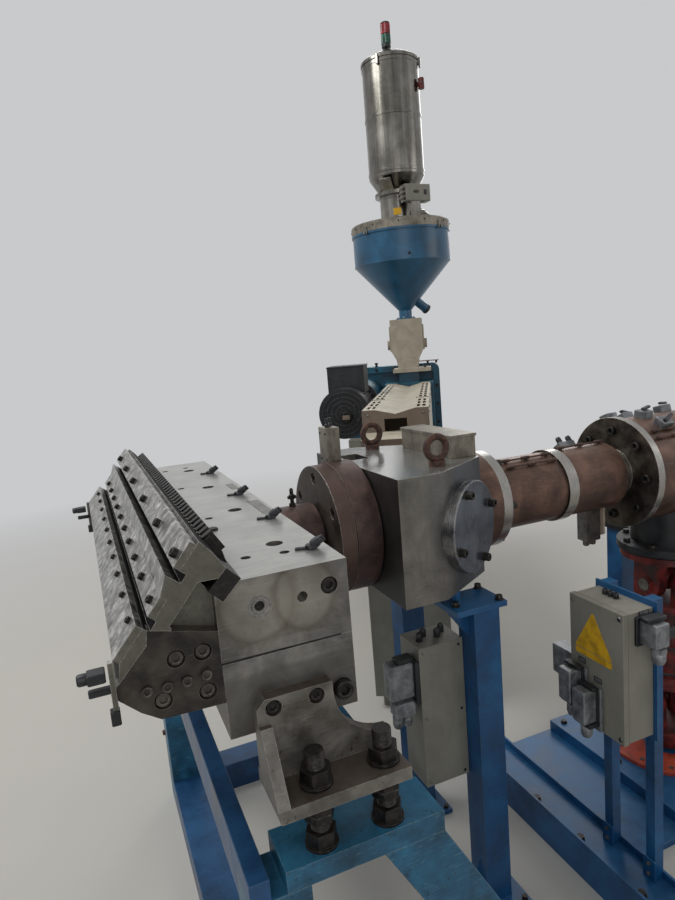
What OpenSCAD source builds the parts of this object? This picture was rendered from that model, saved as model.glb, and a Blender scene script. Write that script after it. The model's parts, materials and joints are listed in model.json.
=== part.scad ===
// Head end of a sheet extrusion line: a wide slot die on its stand, a feedblock with two
// angled ports, a heated melt pipe from the pump with its upright drive shaft, and a small
// side extruder with hopper and vacuum loader. Lengths are millimetres.
// The melt runs towards -X. The origin is on the floor under the drive shaft.

/* [Melt line] */
// Height of the melt axis above the floor
melt_z = 1100; // [1050:10:1300]
// Distance from the die lip to the drive shaft
drive_x = 1830; // [1810:10:2000]
// Gap between curved faces that seat on each other
seat_gap = 0.3; // [0.1:0.1:0.5]

/* [Sheet die] */
// Width of the die across the line
die_w = 1230; // [900:10:1500]
// Depth of the two die bodies along the line
die_depth = 224; // [200:2:300]
// Height of each die body from the melt axis
die_h = 130; // [115:1:160]
// Height of the gap at the front of the split between the bodies
split_gap = 2; // [1:0.5:4]
// Length of that gap
split_gap_l = 172; // [100:2:190]
// Radius of the bolt recesses in the top face
recess_r = 16; // [10:1:20]
// Depth of those recesses
recess_depth = 22; // [10:1:40]
// Distance of the bolt recesses from the die's back
back_row = 78; // [60:1:90]
// Distance of the front row of small holes from the die's back
front_row = 145; // [110:1:160]
// Number of bolt recesses in the row
recess_count = 4; // [2:2:6]
// Radius of the small holes in the top face
small_hole_r = 9; // [6:1:11]

/* [Die lips] */
// Depth of the lips in front of the bodies
lip_depth = 158; // [158:1:180]
// Opening between the lips
lip_gap = 3; // [1:0.5:5]
// Slope of the stepped front
lip_slope = 50; // [48:1:52]
// Height of the foot of the stepped front above the melt axis
lip_foot_h = 50; // [46:1:54]
// Thickness of the bolted bars
bar_t = 12; // [8:1:14]
// Length of the lowest bar up the slope
low_bar_l = 60; // [50:1:64]
// Length of the middle bar up the slope
mid_bar_l = 34; // [26:1:38]
// Length of the top bar up the slope
top_bar_l = 46; // [36:1:50]
// Width of the two grooves between the steps
groove_w = 15; // [10:1:18]
// Depth of those grooves below the lowest bar
groove_d = 24; // [21:1:28]
// Drop of the middle bar below the others
mid_drop = 8; // [4:1:8]
// Length of the wedge above the middle bar
wedge_l = 32; // [24:1:36]
// Height of that wedge above the lowest bar
wedge_h = 4; // [2:1:6]
// Thickness of the flexing slab behind the steps
slab_t = 46; // [40:1:50]
// Width of the slit that lets the slab flex
flex_gap = 3; // [2:0.5:5]
// Thickness of the end plates that close the lips
end_plate_t = 25; // [15:1:40]

/* [Restrictor] */
// Thickness of the restrictor bar
restrictor_t = 30; // [26:1:32]
// Height of the restrictor bar along its slope
restrictor_l = 45; // [40:1:50]
// Thickness of the comb plate
comb_t = 12; // [8:1:16]
// Height of the comb teeth
tooth_h = 8; // [4:1:12]
// Width of one comb tooth
tooth_w = 14; // [8:1:18]
// Number of comb teeth
tooth_count = 40; // [20:1:45]
// Distance from the bar's ends to the ends of the comb
comb_end_gap = 70; // [40:5:120]

/* [Die brackets and stand] */
// Thickness of the bracket plates
bracket_t = 24; // [16:1:30]
// Height of the foot plate's top below the melt axis
foot_drop = 207; // [190:1:230]
// Thickness of the foot plate
foot_t = 22; // [16:1:30]
// Length of the foot plate along the line
foot_l = 225; // [205:1:260]
// Radius of the round cut-out in the bracket
bracket_arc_r = 100; // [60:1:110]
// Radius of the levelling studs
stud_r = 15; // [12:1:18]
// Width of the nuts across their flats
nut_w = 46; // [40:1:55]
// Height of a nut
nut_h = 24; // [20:1:28]
// Radius of the washers under the nuts
washer_r = 28; // [24:1:32]
// Thickness of the washers
washer_t = 5; // [3:1:6]
// Open height between the foot plate and the stand
stud_gap = 86; // [75:1:120]
// Height of the studs above the foot plate
stud_up = 58; // [45:1:70]
// Size of the stand's box sections
stand_tube = 100; // [80:1:120]
// Length of the stand's head plates
head_l = 284; // [270:1:320]
// Thickness of the stand's head plates
head_t = 38; // [30:1:60]
// Width of the cross beam's top between the two sides of the stand
beam_w = 34; // [25:1:50]
// Angle of the braces above the floor
brace_angle = 60; // [55:1:70]

/* [Neck and feedblock] */
// Length of the neck behind the die
neck_l = 171; // [120:1:200]
// Radius of the neck's heater band
neck_r = 76; // [62:1:90]
// Length of the adapter between neck and feedblock
adapter_l = 113; // [90:1:140]
// Radius of the adapter flange
adapter_r = 172; // [165:1:180]
// Length of the feedblock along the line
block_l = 305; // [280:1:340]
// Width of the feedblock
block_w = 532; // [500:2:560]
// Height of the feedblock above the melt axis
block_up = 161; // [150:1:180]
// Height of the feedblock below the melt axis
block_down = 160; // [150:1:170]
// Length of the feedblock before its corners are cut
block_straight = 118; // [100:1:130]
// Angle of the side ports from straight across the line
port_angle = 31; // [29:1:33]
// Radius of the side port flanges
port_r = 107; // [90:1:108]

/* [Melt pipe and pump] */
// Radius of the melt pipe
pipe_r = 78; // [60:1:80]
// Radius of the pipe's heater bands
band_r = 105; // [90:1:115]
// Length of the first heater band
first_band_l = 229; // [150:1:230]
// Length of the second heater band
second_band_l = 198; // [150:1:200]
// Radius of the pump's end flanges
pump_flange_r = 180; // [176:1:200]
// Thickness of the pump's end flanges
flange_t = 26; // [20:1:35]
// Radius of the pump body with its heater
pump_r = 170; // [140:1:172]
// Half the length of the pump body
pump_half_l = 213; // [180:1:213]
// Pitch radius of the bolts in the pump's flanges
bolt_pitch_r = 138; // [130:1:150]
// Number of bolts in the pump's flanges
bolt_count = 8; // [6:1:12]
// Radius of the bolt holes in the pump's flanges
bolt_hole_r = 9; // [7:0.5:11]

/* [Pump drive] */
// Height of the shaft's top flange below the melt axis
shaft_drop = 300; // [290:1:320]
// Radius of the shaft's top flange
shaft_flange_r = 150; // [138:1:155]
// Radius of the shaft's tube
shaft_tube_r = 50; // [40:1:56]
// Radius of the plain shaft ends in their bearings
journal_r = 45; // [30:1:45]
// Radial clearance of the shaft ends
fit_gap = 0.1; // [0.05:0.05:0.1]
// Free height between the turning flange and the fixed one
turn_gap = 6; // [5:1:10]
// Height of the drive base
base_h = 58; // [50:1:80]
// Outer radius of the ring on the drive base
ring_r = 205; // [180:1:205]
// Size of the square columns that carry the pump
pump_post = 75; // [60:1:90]

/* [Front frame and boxes] */
// Height of the floor channel
channel_h = 100; // [80:1:120]
// Size of the square columns under the feedblock
block_post = 78; // [60:1:90]
// Width of the junction box across the line
junction_w = 178; // [140:1:220]
// Depth of the junction box along the line
junction_d = 100; // [70:1:120]
// Height of the junction box
junction_h = 345; // [280:1:400]
// Height of the junction box above the floor
junction_z = 534; // [450:1:600]

/* [Side extruder] */
// Distance from the feedblock to the barrel cover
cover_start = 540; // [480:5:600]
// Length of the barrel cover
cover_l = 1500; // [1300:10:1600]
// Width of the barrel cover
cover_w = 264; // [260:2:300]
// Height of the cover's top above the melt axis
cover_up = 220; // [200:2:240]
// Depth of the cover and gearbox below the melt axis
cover_down = 140; // [130:2:160]
// Wall of the barrel cover
cover_wall = 3; // [2:0.5:4]
// Radius of the barrel with its heater bands
barrel_r = 75; // [60:1:85]
// Pitch of those heater bands
barrel_band_pitch = 280; // [200:10:320]
// Length of the cover's front section
near_cover_l = 440; // [380:10:700]
// Depth of the valley along the cover's top
cover_valley = 20; // [10:1:40]
// Pitch of the vent slots along the cover
slot_pitch = 120; // [90:5:160]
// Length of the feed section and gearbox behind the cover
gearbox_l = 415; // [400:5:500]
// Distance of the gearbox housing's side from the barrel axis
gearbox_half_w = 192; // [180:2:220]
// Height of the gearbox housing above the cover
housing_rise = 105; // [90:5:130]
// Distance of the motor axis beside the barrel
motor_side = 290; // [280:5:330]
// Length of the motor from its fan to the gearbox
motor_l = 550; // [450:10:700]
// Radius of the motor's ribbed body
motor_r = 110; // [90:1:125]

/* [Hopper and loader] */
// Width of the feed casting
casting_w = 198; // [170:1:220]
// Height of the feed casting
casting_h = 305; // [250:1:350]
// Radius of the hopper
hopper_r = 295; // [280:5:340]
// Height of the hopper's cone
cone_h = 280; // [240:5:320]
// Height of the hopper's straight wall
hopper_wall_h = 185; // [120:5:220]
// Wall of the hopper
hopper_t = 4; // [3:0.5:5]
// Radius of the hopper's outlet
outlet_r = 40; // [36:1:60]
// Radius of the vacuum loader
loader_r = 168; // [160:1:185]
// Height of the loader's vessel
loader_h = 632; // [500:4:700]

/* [Hidden] */
$fn = 64;

// Stations along the line, measured from the die lip
die_back_x = lip_depth + die_depth;
flange_x = die_back_x + neck_l;
block_x = flange_x + adapter_l;
block_end_x = block_x + block_l;
pipe_end_x = drive_x - pump_half_l;

// Die lips: a point at distance u up the slope and v out from the lowest bar's face
function on_slope(u, v) = [
    u * cos(lip_slope) - v * sin(lip_slope),
    lip_foot_h + u * sin(lip_slope) + v * cos(lip_slope)
];
mid_bar_u = low_bar_l + groove_w + 3;
wedge_u = mid_bar_u + mid_bar_l;
wedge_end_u = wedge_u + wedge_l;
top_bar_u = wedge_end_u + groove_w;
slope_l = top_bar_u + top_bar_l + 6;
mid_seat_v = -bar_t - mid_drop;
slit_foot_u = 79;
slit_top_u = 157;

// The restrictor bar stands at 45 degrees in a notch of the upper body
bar_angle = 45;
bar_foot = [lip_depth + 13, 101];
function on_bar(s, t) = bar_foot + [
    s * cos(bar_angle) - t * sin(bar_angle),
    s * sin(bar_angle) + t * cos(bar_angle)
];
comb_foot = on_bar(restrictor_l, restrictor_t);
comb_top = on_slope(slope_l - 4, -slab_t + 6);
comb_dir = (comb_top - comb_foot) / norm(comb_top - comb_foot);
comb_out = [comb_dir[1], -comb_dir[0]];

half_w = die_w / 2;
end_flat = 6;
END_PLATE = [
    [0, end_flat], [50, 60], [53, 83], [lip_depth, 56], [lip_depth, -65], [58, -62],
    [30, -43], [0, -14]
];
UPPER_LIP = [
    [2, lip_gap / 2], on_slope(0, -bar_t),
    on_slope(low_bar_l, -bar_t), on_slope(low_bar_l, -groove_d),
    on_slope(mid_bar_u, -groove_d), on_slope(mid_bar_u, mid_seat_v),
    on_slope(wedge_u, mid_seat_v), on_slope(wedge_u, mid_seat_v + bar_t),
    on_slope(wedge_end_u, wedge_h), on_slope(wedge_end_u, -groove_d),
    on_slope(top_bar_u, -groove_d), on_slope(top_bar_u, -bar_t),
    on_slope(slope_l, -bar_t), comb_top, comb_foot, on_bar(restrictor_l - 20, restrictor_t),
    on_slope(slit_top_u, -slab_t), on_slope(slit_foot_u, -slab_t),
    on_slope(slit_foot_u, -slab_t - flex_gap), on_slope(slit_top_u, -slab_t - flex_gap),
    on_bar(0, restrictor_t), [lip_depth, on_bar(0, 0)[1] + 13], [lip_depth, lip_gap / 2]
];
LOWER_LIP = [
    [0, -lip_gap / 2], [lip_depth, -lip_gap / 2], [lip_depth, -65], [58, -62], [30, -43],
    [0, -14]
];
// The lip behind the slit ends short of the die's ends
LIP_POCKET = [
    on_slope(slit_foot_u + 2, -slab_t - flex_gap + 1), on_slope(slit_top_u + 2, -slab_t - flex_gap + 1),
    on_bar(0, restrictor_t) + [1, 2], [lip_depth + 1, on_bar(0, 0)[1] + 14],
    [lip_depth + 1, 40], [slit_foot_u + 8, 60]
];
// Holes in the die's ends: distance behind the lips, height above the melt axis, radius, depth
END_HOLES = [[69, 80, 14, 30], [142, 80, 9, 30], [190, 89, 15, 12]];
LOWER_END_HOLES = [[198, -96, 17, 10]];
BRACKET_HOLES = [[69, -83, 14, 12], [143, -83, 14, 12]];
END_PLATE_HOLES = [[-68, 28, 14, 10], [-27, 29, 14, 10], [-26, -37, 14, 10], [-94, -33, 14, 10]];
UPPER_BODY = [
    [lip_depth, 0], [lip_depth, on_bar(0, 0)[1] + 13], on_bar(0, 0),
    on_bar(0, 0) + [die_h - bar_foot[1], die_h - bar_foot[1]],
    [die_back_x, die_h], [die_back_x, 0]
];
LOWER_BODY = [
    [lip_depth, -split_gap], [lip_depth + split_gap_l, -split_gap],
    [lip_depth + split_gap_l, 0], [die_back_x, 0], [die_back_x, -die_h], [lip_depth, -die_h]
];

// Die brackets and stand
bracket_x = lip_depth + 41;
foot_x = bracket_x + 3;
foot_top = melt_z - foot_drop;
head_top = foot_top - foot_t - stud_gap;
head_y = half_w + 43;
stud_y = half_w + 60;
stud_xs = [foot_x + 73, foot_x + foot_l - 32];
stud_deep = 30;
head_in_y = head_y - stand_tube / 2;
head_bottom = head_top - head_t;
head_end_x = foot_x + head_l;
leg_x = foot_x - 60;
brace_w = stand_tube / sin(brace_angle);
brace_run = head_bottom / tan(brace_angle);
rail_run = stand_tube / tan(brace_angle);
brace_foot_x = head_end_x + brace_run - brace_w;

// Feedblock corners and side ports
cut_l = block_l - block_straight;
back_half_w = block_w / 2 - cut_l * tan(port_angle);
port_x = block_x + block_straight + cut_l / 2;
port_y = (block_w / 2 + back_half_w) / 2;
block_bottom = melt_z - block_down;
block_top = melt_z + block_up;

// Adapter flange and its heater band
disc_t = 42;
heater_r = adapter_r + 3;

// Collar, clamp and heater bands on the melt pipe
collar_r = 120;
collar_l = 82;
collar_flange_r = 143;
clamp_w = 36;
band_x = block_end_x + collar_l + 30;
clamp_x = band_x + first_band_l;

// Pump drive
shaft_top = melt_z - shaft_drop;
adapter_bottom = shaft_top + turn_gap;
adapter_flange_t = 25;
post_y = ring_r + 10 + pump_post / 2;
post_x = drive_x + 55;
ear_half_l = post_y + pump_post / 2 + 10;
journal_deep = 80;
upper_joint_z = shaft_top - 115;
lower_joint_z = base_h + 182;
base_half_l = 270;
ring_t = 14;

// Front frame
channel_x = 1170;
channel_w = 120;
junction_x = channel_x - 20;
junction_y = -369;
plate_t = 6;

// Side extruder, measured along its axis from the feedblock's angled face
cover_end = cover_start + cover_l;
gearbox_end = cover_end + gearbox_l;
feed_at = cover_end + 150;
motor_face = cover_end - 350;
housing_x = cover_end + 255;
housing_w = motor_side + 140;
housing_up = cover_up + housing_rise;
housing_rim = 40;
housing_recess = 30;
motor_z = melt_z + 150;
casting_foot_z = melt_z + cover_up + 65;
casting_top_z = casting_foot_z + 25 + casting_h;
hopper_z = casting_top_z + 55;
hopper_top_z = hopper_z + cone_h + hopper_wall_h;
lid_h = 55;
loader_z = hopper_top_z + lid_h;
vessel_z = loader_z + 278;
dome_z = vessel_z + loader_h;
dome_h = 60;

blue = "#1f5a96";
teal = "#2a6f93";
steel = "#a9a8a2";
brown = "#6b4a36";

// Helpers

// Shifts a piece from the die lip's frame to the drive shaft's
module on_line() {
    translate([-drive_x, 0, 0])
        children();
}

// Extrudes a side outline across the line, from the melt axis height
module across(w, y = 0, z = melt_z) {
    translate([0, y + w / 2, z])
        rotate([90, 0, 0])
            linear_extrude(w)
                children();
}

// A round bar along X
module rod_x(x, l, r) {
    translate([x, 0, 0])
        rotate([0, 90, 0])
            cylinder(h = l, r = r);
}

// A box given by its low corner and its size
module block(low, size) {
    translate(low)
        cube(size);
}

// Copies a piece to both sides of the line
module both_sides() {
    children();
    mirror([0, 1, 0])
        children();
}

// A pattern of copies around X
module around_x(n, r, turn = 0) {
    for (i = [0 : n - 1])
        rotate([turn + i * 360 / n, 0, 0])
            translate([0, 0, r])
                children();
}

// The side extruder's frame: X along its axis away from the feedblock, Y towards the die
module on_side_axis(z = 0) {
    on_line()
        translate([port_x, port_y, z])
            rotate([0, 0, 90 - port_angle])
                children();
}

// The hopper's frame: on the hopper's axis, turned square to the melt line
module on_hopper(z) {
    on_side_axis(z)
        translate([feed_at, 0, 0])
            rotate([0, 0, port_angle - 90])
                children();
}

// Extrudes an outline of the side extruder along its axis
module along_side(x, l) {
    translate([x, 0, 0])
        rotate([90, 0, 90])
            linear_extrude(l)
                children();
}

// Sheet die

// Blind holes in both ends of a piece that is twice half wide
module end_holes(holes, half) {
    both_sides()
        for (hole = holes)
            translate([lip_depth + hole[0], -half - 1, melt_z + hole[1]])
                rotate([-90, 0, 0])
                    cylinder(h = hole[3] + 1, r = hole[2]);
}

module die_upper_body() {
    row_pitch = die_w / recess_count;
    top = melt_z + die_h;
    color(steel)
        on_line()
            difference() {
                across(die_w)
                    polygon(UPPER_BODY);
                for (i = [0 : recess_count - 1])
                    translate([die_back_x - back_row, (i + 0.5) * row_pitch - half_w, top - recess_depth])
                        cylinder(h = recess_depth + 1, r = recess_r);
                for (spot = [[front_row, 0.31], [front_row, 0.83], [back_row, 0.85]], side = [-1, 1])
                    translate([die_back_x - spot[0], side * spot[1] * half_w, top - recess_depth])
                        cylinder(h = recess_depth + 1, r = small_hole_r);
                end_holes(END_HOLES, half_w);
            }
}

module die_lower_body() {
    color(steel)
        on_line()
            difference() {
                across(die_w)
                    polygon(LOWER_BODY);
                end_holes(LOWER_END_HOLES, half_w);
            }
}

module end_plate_pair() {
    for (side = [-1, 1])
        across(end_plate_t, side * (half_w - end_plate_t / 2))
            polygon(END_PLATE);
}

module upper_lip_body() {
    color(steel)
        on_line()
            difference() {
                across(die_w)
                    polygon(UPPER_LIP);
                end_plate_pair();
                for (side = [-1, 1])
                    across(end_plate_t, side * (half_w - end_plate_t / 2))
                        polygon(LIP_POCKET);
            }
}

module lower_lip_body() {
    color(brown)
        on_line()
            across(die_w - 2 * end_plate_t)
                polygon(LOWER_LIP);
}

module die_end_plates() {
    color(brown)
        on_line()
            difference() {
                end_plate_pair();
                end_holes(END_PLATE_HOLES, half_w);
            }
}

module lip_bolt_bars() {
    low_bar = [0, low_bar_l, -bar_t];
    mid_bar = [mid_bar_u, wedge_u, mid_seat_v];
    top_bar = [top_bar_u, slope_l - 6, -bar_t];
    color(steel)
        on_line()
            for (bar = [low_bar, mid_bar, top_bar])
                across(die_w)
                    polygon([
                        on_slope(bar[0], bar[2]), on_slope(bar[1], bar[2]),
                        on_slope(bar[1], bar[2] + bar_t), on_slope(bar[0], bar[2] + bar_t)
                    ]);
}

// The bar that trims the flow, with the toothed comb on its back
module restrictor_bar() {
    comb_w = die_w - 2 * comb_end_gap;
    tooth_pitch = comb_w / tooth_count;
    tooth_root = comb_foot + comb_t * comb_out;
    tooth_tip = comb_top + comb_t * comb_out;
    color("#33302c")
        on_line() {
            across(die_w)
                polygon([
                    on_bar(0, 0), on_bar(restrictor_l, 0), on_bar(restrictor_l, restrictor_t),
                    on_bar(0, restrictor_t)
                ]);
            across(comb_w)
                polygon([comb_foot, on_bar(restrictor_l, 8), tooth_root, tooth_tip, comb_top]);
            for (i = [0 : tooth_count - 1])
                across(tooth_w, (i + 0.5) * tooth_pitch - comb_w / 2)
                    polygon([
                        tooth_root - comb_out, tooth_root + tooth_h * comb_out,
                        tooth_tip + tooth_h * comb_out, tooth_tip - comb_out
                    ]);
        }
}

// Die brackets and stand

module die_brackets() {
    foot_out_y = half_w + 100;
    web_out = foot_out_y - half_w - bracket_t;
    color(steel)
        on_line()
            both_sides() {
                difference() {
                    across(bracket_t, -half_w - bracket_t / 2, foot_top)
                        difference() {
                            polygon([
                                [bracket_x, 0], [bracket_x, foot_drop - 80],
                                [bracket_x + 15, foot_drop - 65], [bracket_x + 131, foot_drop - 65],
                                [bracket_x + 131, bracket_arc_r + 26], [foot_x + foot_l, 26],
                                [foot_x + foot_l, 0]
                            ]);
                            translate([foot_x + foot_l + 3, bracket_arc_r + 26])
                                circle(r = bracket_arc_r);
                        }
                    end_holes(BRACKET_HOLES, half_w + bracket_t);
                }
                translate([bracket_x, -half_w - bracket_t, foot_top])
                    rotate([90, 0, 90])
                        linear_extrude(20)
                            polygon([[0, 0], [0, 100], [-12, 100], [-web_out, 0]]);
                difference() {
                    block(
                        [foot_x, -foot_out_y, foot_top - foot_t],
                        [foot_l, foot_out_y - half_w + 25, foot_t]
                    );
                    for (x = stud_xs)
                        translate([x, -stud_y, foot_top - foot_t - 1])
                            cylinder(h = foot_t + 2, r = stud_r + 1);
                }
            }
}

module nut() {
    cylinder(h = nut_h, r = nut_w / sqrt(3), $fn = 6);
}

module washer() {
    cylinder(h = washer_t, r = washer_r);
}

module bracket_studs() {
    color("#26262a")
        on_line()
            both_sides()
                for (x = stud_xs)
                    translate([x, -stud_y, 0]) {
                        translate([0, 0, head_top - stud_deep])
                            cylinder(h = foot_top + stud_up - head_top + stud_deep, r = stud_r);
                        translate([0, 0, head_top])
                            washer();
                        translate([0, 0, head_top + washer_t])
                            nut();
                        translate([0, 0, foot_top - foot_t - nut_h])
                            nut();
                        translate([0, 0, foot_top])
                            washer();
                        translate([0, 0, foot_top + washer_t])
                            nut();
                    }
}

module stand_heads() {
    color(teal)
        on_line()
            both_sides()
                difference() {
                    block(
                        [foot_x, -head_y - stand_tube / 2, head_bottom],
                        [head_l, stand_tube, head_t]
                    );
                    for (x = stud_xs)
                        translate([x, -stud_y, head_top - stud_deep])
                            cylinder(h = stud_deep + 1, r = stud_r + 1);
                }
}

module stand_legs() {
    color(teal)
        on_line()
            both_sides() {
                block([leg_x, -head_y - stand_tube / 2, 0], [stand_tube, stand_tube, head_bottom]);
                across(stand_tube, -head_y, 0)
                    polygon([
                        [head_end_x - brace_w, head_bottom], [head_end_x, head_bottom],
                        [head_end_x + brace_run, 0], [brace_foot_x, 0]
                    ]);
            }
}

module stand_rails() {
    rail_x = leg_x + stand_tube;
    tie_w = 60;
    tie_z = 270;
    tie_x = brace_foot_x - tie_z / tan(brace_angle) + 3;
    beam_h = 100;
    color(teal)
        on_line() {
            both_sides()
                across(stand_tube, -head_y, 0)
                    polygon([
                        [rail_x, 0], [brace_foot_x, 0], [brace_foot_x - rail_run, stand_tube],
                        [rail_x, stand_tube]
                    ]);
            block([leg_x, -head_in_y, 0], [stand_tube, 2 * head_in_y, stand_tube]);
            block([tie_x, -head_in_y, tie_z], [tie_w, 2 * head_in_y, tie_w]);
            block(
                [leg_x, -head_y - stand_tube / 2, head_bottom],
                [beam_w, 2 * head_y + stand_tube, head_t]
            );
            block(
                [leg_x, -head_in_y, head_top - beam_h],
                [beam_w, 2 * head_in_y, beam_h - head_t]
            );
        }
}

// Neck and feedblock

module melt_neck() {
    core_r = neck_r - 18;
    color(brown)
        on_line()
            translate([0, 0, melt_z]) {
                rod_x(die_back_x, neck_l, core_r);
                rod_x(die_back_x + 10, neck_l - 20, neck_r);
            }
}

module adapter_flange() {
    core_r = adapter_r - 22;
    color(steel)
        on_line()
            translate([0, 0, melt_z])
                difference() {
                    union() {
                        rod_x(flange_x, disc_t, adapter_r);
                        rod_x(flange_x, adapter_l, core_r);
                    }
                    around_x(6, adapter_r - 32)
                        rod_x(flange_x - 1, 19, 15);
                }
}

module adapter_heater() {
    core_r = adapter_r - 22;
    color(brown)
        on_line()
            translate([0, 0, melt_z])
                difference() {
                    rod_x(flange_x + disc_t, adapter_l - disc_t - 3, heater_r);
                    rod_x(flange_x + disc_t - 1, adapter_l, core_r + seat_gap);
                }
}

module terminal_boxes() {
    box = [74, 276, 54];
    lid = [80, 282, 8];
    sensor = [38, 58, 103];
    sensor_x = flange_x + 52;
    color(steel)
        on_line() {
            block([block_end_x - box[0], -box[1] / 2, block_top], box);
            block([block_end_x - box[0] - 3, -lid[1] / 2, block_top + box[2]], lid);
            difference() {
                block([sensor_x, 10, melt_z + heater_r - 12], sensor);
                translate([0, 0, melt_z])
                    rod_x(sensor_x - 1, sensor[0] + 2, heater_r + seat_gap);
            }
        }
}

module feedblock() {
    color(steel)
        on_line()
            difference() {
                translate([block_x, 0, block_bottom])
                    linear_extrude(block_up + block_down)
                        polygon([
                            [0, -block_w / 2], [block_straight, -block_w / 2],
                            [block_l, -back_half_w], [block_l, back_half_w],
                            [block_straight, block_w / 2], [0, block_w / 2]
                        ]);
                block([block_x + 20, 60, block_top - 22], [62, 96, 23]);
            }
}

module feed_port_cap() {
    disc_l = 32;
    boss_l = 20;
    boss_r = port_r - 38;
    bolt_r = 11;
    bolt_deep = 10;
    color(steel)
        on_line()
            translate([port_x, -port_y, melt_z])
                rotate([0, 0, port_angle - 90]) {
                    difference() {
                        rod_x(0, disc_l, port_r);
                        for (i = [0 : 3])
                            rotate([45 + i * 90, 0, 0])
                                translate([0, 0, port_r - 20])
                                    rod_x(disc_l - bolt_deep, bolt_deep + 1, bolt_r);
                    }
                    rod_x(disc_l, boss_l, boss_r);
                }
}

module lifting_eyes() {
    eye_r = 28;
    wire_r = 9;
    foot_r = 21;
    foot_h = 14;
    eye_x = block_x + 155;
    color("#5a4334")
        on_line()
            for (y = [-187, 190])
                translate([eye_x, y, block_top]) {
                    cylinder(h = foot_h, r = foot_r);
                    translate([0, 0, foot_h + eye_r + wire_r - 4])
                        rotate([90, 0, 0])
                            rotate_extrude()
                                translate([eye_r, 0])
                                    circle(r = wire_r);
                }
}

// Melt pipe and pump

module inlet_pipe() {
    color(steel)
        on_line()
            translate([0, 0, melt_z])
                difference() {
                    union() {
                        rod_x(block_end_x, collar_l, collar_r);
                        rod_x(block_end_x + collar_l, 30, collar_flange_r);
                        rod_x(block_end_x, pipe_end_x - block_end_x, pipe_r);
                        rod_x(clamp_x, clamp_w, band_r + 7);
                        rod_x(pipe_end_x - flange_t, flange_t, pump_flange_r);
                    }
                    around_x(bolt_count, bolt_pitch_r)
                        rod_x(pipe_end_x - flange_t - 1, 17, bolt_hole_r + 5);
                }
}

module heater_band(x, l, inner_r, outer_r) {
    difference() {
        rod_x(x, l, outer_r);
        rod_x(x - 1, l + 2, inner_r + seat_gap);
    }
}

module pipe_heaters() {
    color(brown)
        on_line()
            translate([0, 0, melt_z]) {
                heater_band(block_end_x, collar_l, collar_r, collar_flange_r);
                heater_band(band_x, first_band_l, pipe_r, band_r);
                heater_band(clamp_x + clamp_w, second_band_l, pipe_r, band_r);
            }
}

module pump_body() {
    color(brown)
        on_line()
            translate([0, 0, melt_z])
                difference() {
                    union() {
                        rod_x(pipe_end_x, 2 * pump_half_l, pump_r);
                        rod_x(pipe_end_x + 2 * pump_half_l, flange_t, pump_flange_r);
                    }
                    around_x(bolt_count, bolt_pitch_r)
                        rod_x(pipe_end_x + 2 * pump_half_l - 12, flange_t + 13, bolt_hole_r);
                }
}

module drive_adapter() {
    housing_r = 115;
    color("#1d1d20")
        translate([0, 0, adapter_bottom])
            difference() {
                union() {
                    cylinder(h = melt_z - adapter_bottom - pump_r + 40, r = housing_r);
                    cylinder(h = adapter_flange_t, r = shaft_flange_r + 10);
                    block([0, -ear_half_l, 0], [110, 2 * ear_half_l, adapter_flange_t]);
                }
                translate([0, 0, -1])
                    cylinder(h = journal_deep + 1 + seat_gap, r = journal_r + fit_gap);
                translate([0, 0, melt_z - adapter_bottom])
                    rod_x(-housing_r * 2, housing_r * 4, pump_r + seat_gap);
            }
}

// Drive shaft

// One fork of a universal joint: a disc with two ears that reach to the pin at z = 0
module joint_fork(disc_z, disc_r) {
    ear_t = 40;
    ear_r = 50;
    ear_in = 58;
    for (side = [-1, 1])
        translate([side * (ear_in + ear_t / 2), 0, 0])
            rotate([0, 90, 0])
                translate([0, 0, -ear_t / 2])
                    linear_extrude(ear_t)
                        union() {
                            circle(r = ear_r);
                            translate([-disc_z, -ear_r])
                                square([disc_z, 2 * ear_r]);
                        }
    translate([0, 0, disc_z])
        cylinder(h = 22, r = disc_r);
}

// The cross with its four bearing caps
module joint_cross() {
    for (turn = [0, 90])
        rotate([0, 0, turn])
            rod_x(-106, 212, 27);
    sphere(r = 38);
}

module drive_shaft() {
    fork_h = 93;
    tube_low = lower_joint_z + fork_h;
    tube_high = upper_joint_z - fork_h;
    coupling_z = base_h + turn_gap;
    color("#7a2420") {
        translate([0, 0, upper_joint_z]) {
            joint_fork(fork_h, shaft_flange_r);
            mirror([0, 0, 1])
                rotate([0, 0, 90])
                    joint_fork(fork_h - 22, 106);
            joint_cross();
        }
        translate([0, 0, tube_low - 22])
            cylinder(h = tube_high - tube_low + 44, r = shaft_tube_r);
        translate([0, 0, tube_low])
            cylinder(h = (tube_high - tube_low) * 0.45, r = shaft_tube_r + 9);
        translate([0, 0, lower_joint_z]) {
            rotate([0, 0, 90])
                joint_fork(fork_h - 22, 106);
            mirror([0, 0, 1])
                joint_fork(fork_h, 110);
            joint_cross();
        }
        translate([0, 0, coupling_z])
            cylinder(h = lower_joint_z - fork_h - coupling_z, r = shaft_tube_r + 6);
        translate([0, 0, base_h - 38])
            cylinder(h = 60, r = journal_r);
        translate([0, 0, shaft_top - 1])
            cylinder(h = turn_gap + journal_deep + 1, r = journal_r);
    }
}

module drive_base() {
    journal_floor = base_h - 38 - seat_gap;
    half_y = post_y + pump_post / 2 + 20;
    corner = 60;
    color(blue)
        difference() {
            linear_extrude(base_h)
                polygon([
                    [-base_half_l, -half_y], [base_half_l - corner, -half_y],
                    [base_half_l, -half_y + corner], [base_half_l, half_y - corner],
                    [base_half_l - corner, half_y], [-base_half_l, half_y]
                ]);
            translate([0, 0, journal_floor])
                cylinder(h = base_h, r = journal_r + fit_gap);
        }
}

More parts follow.
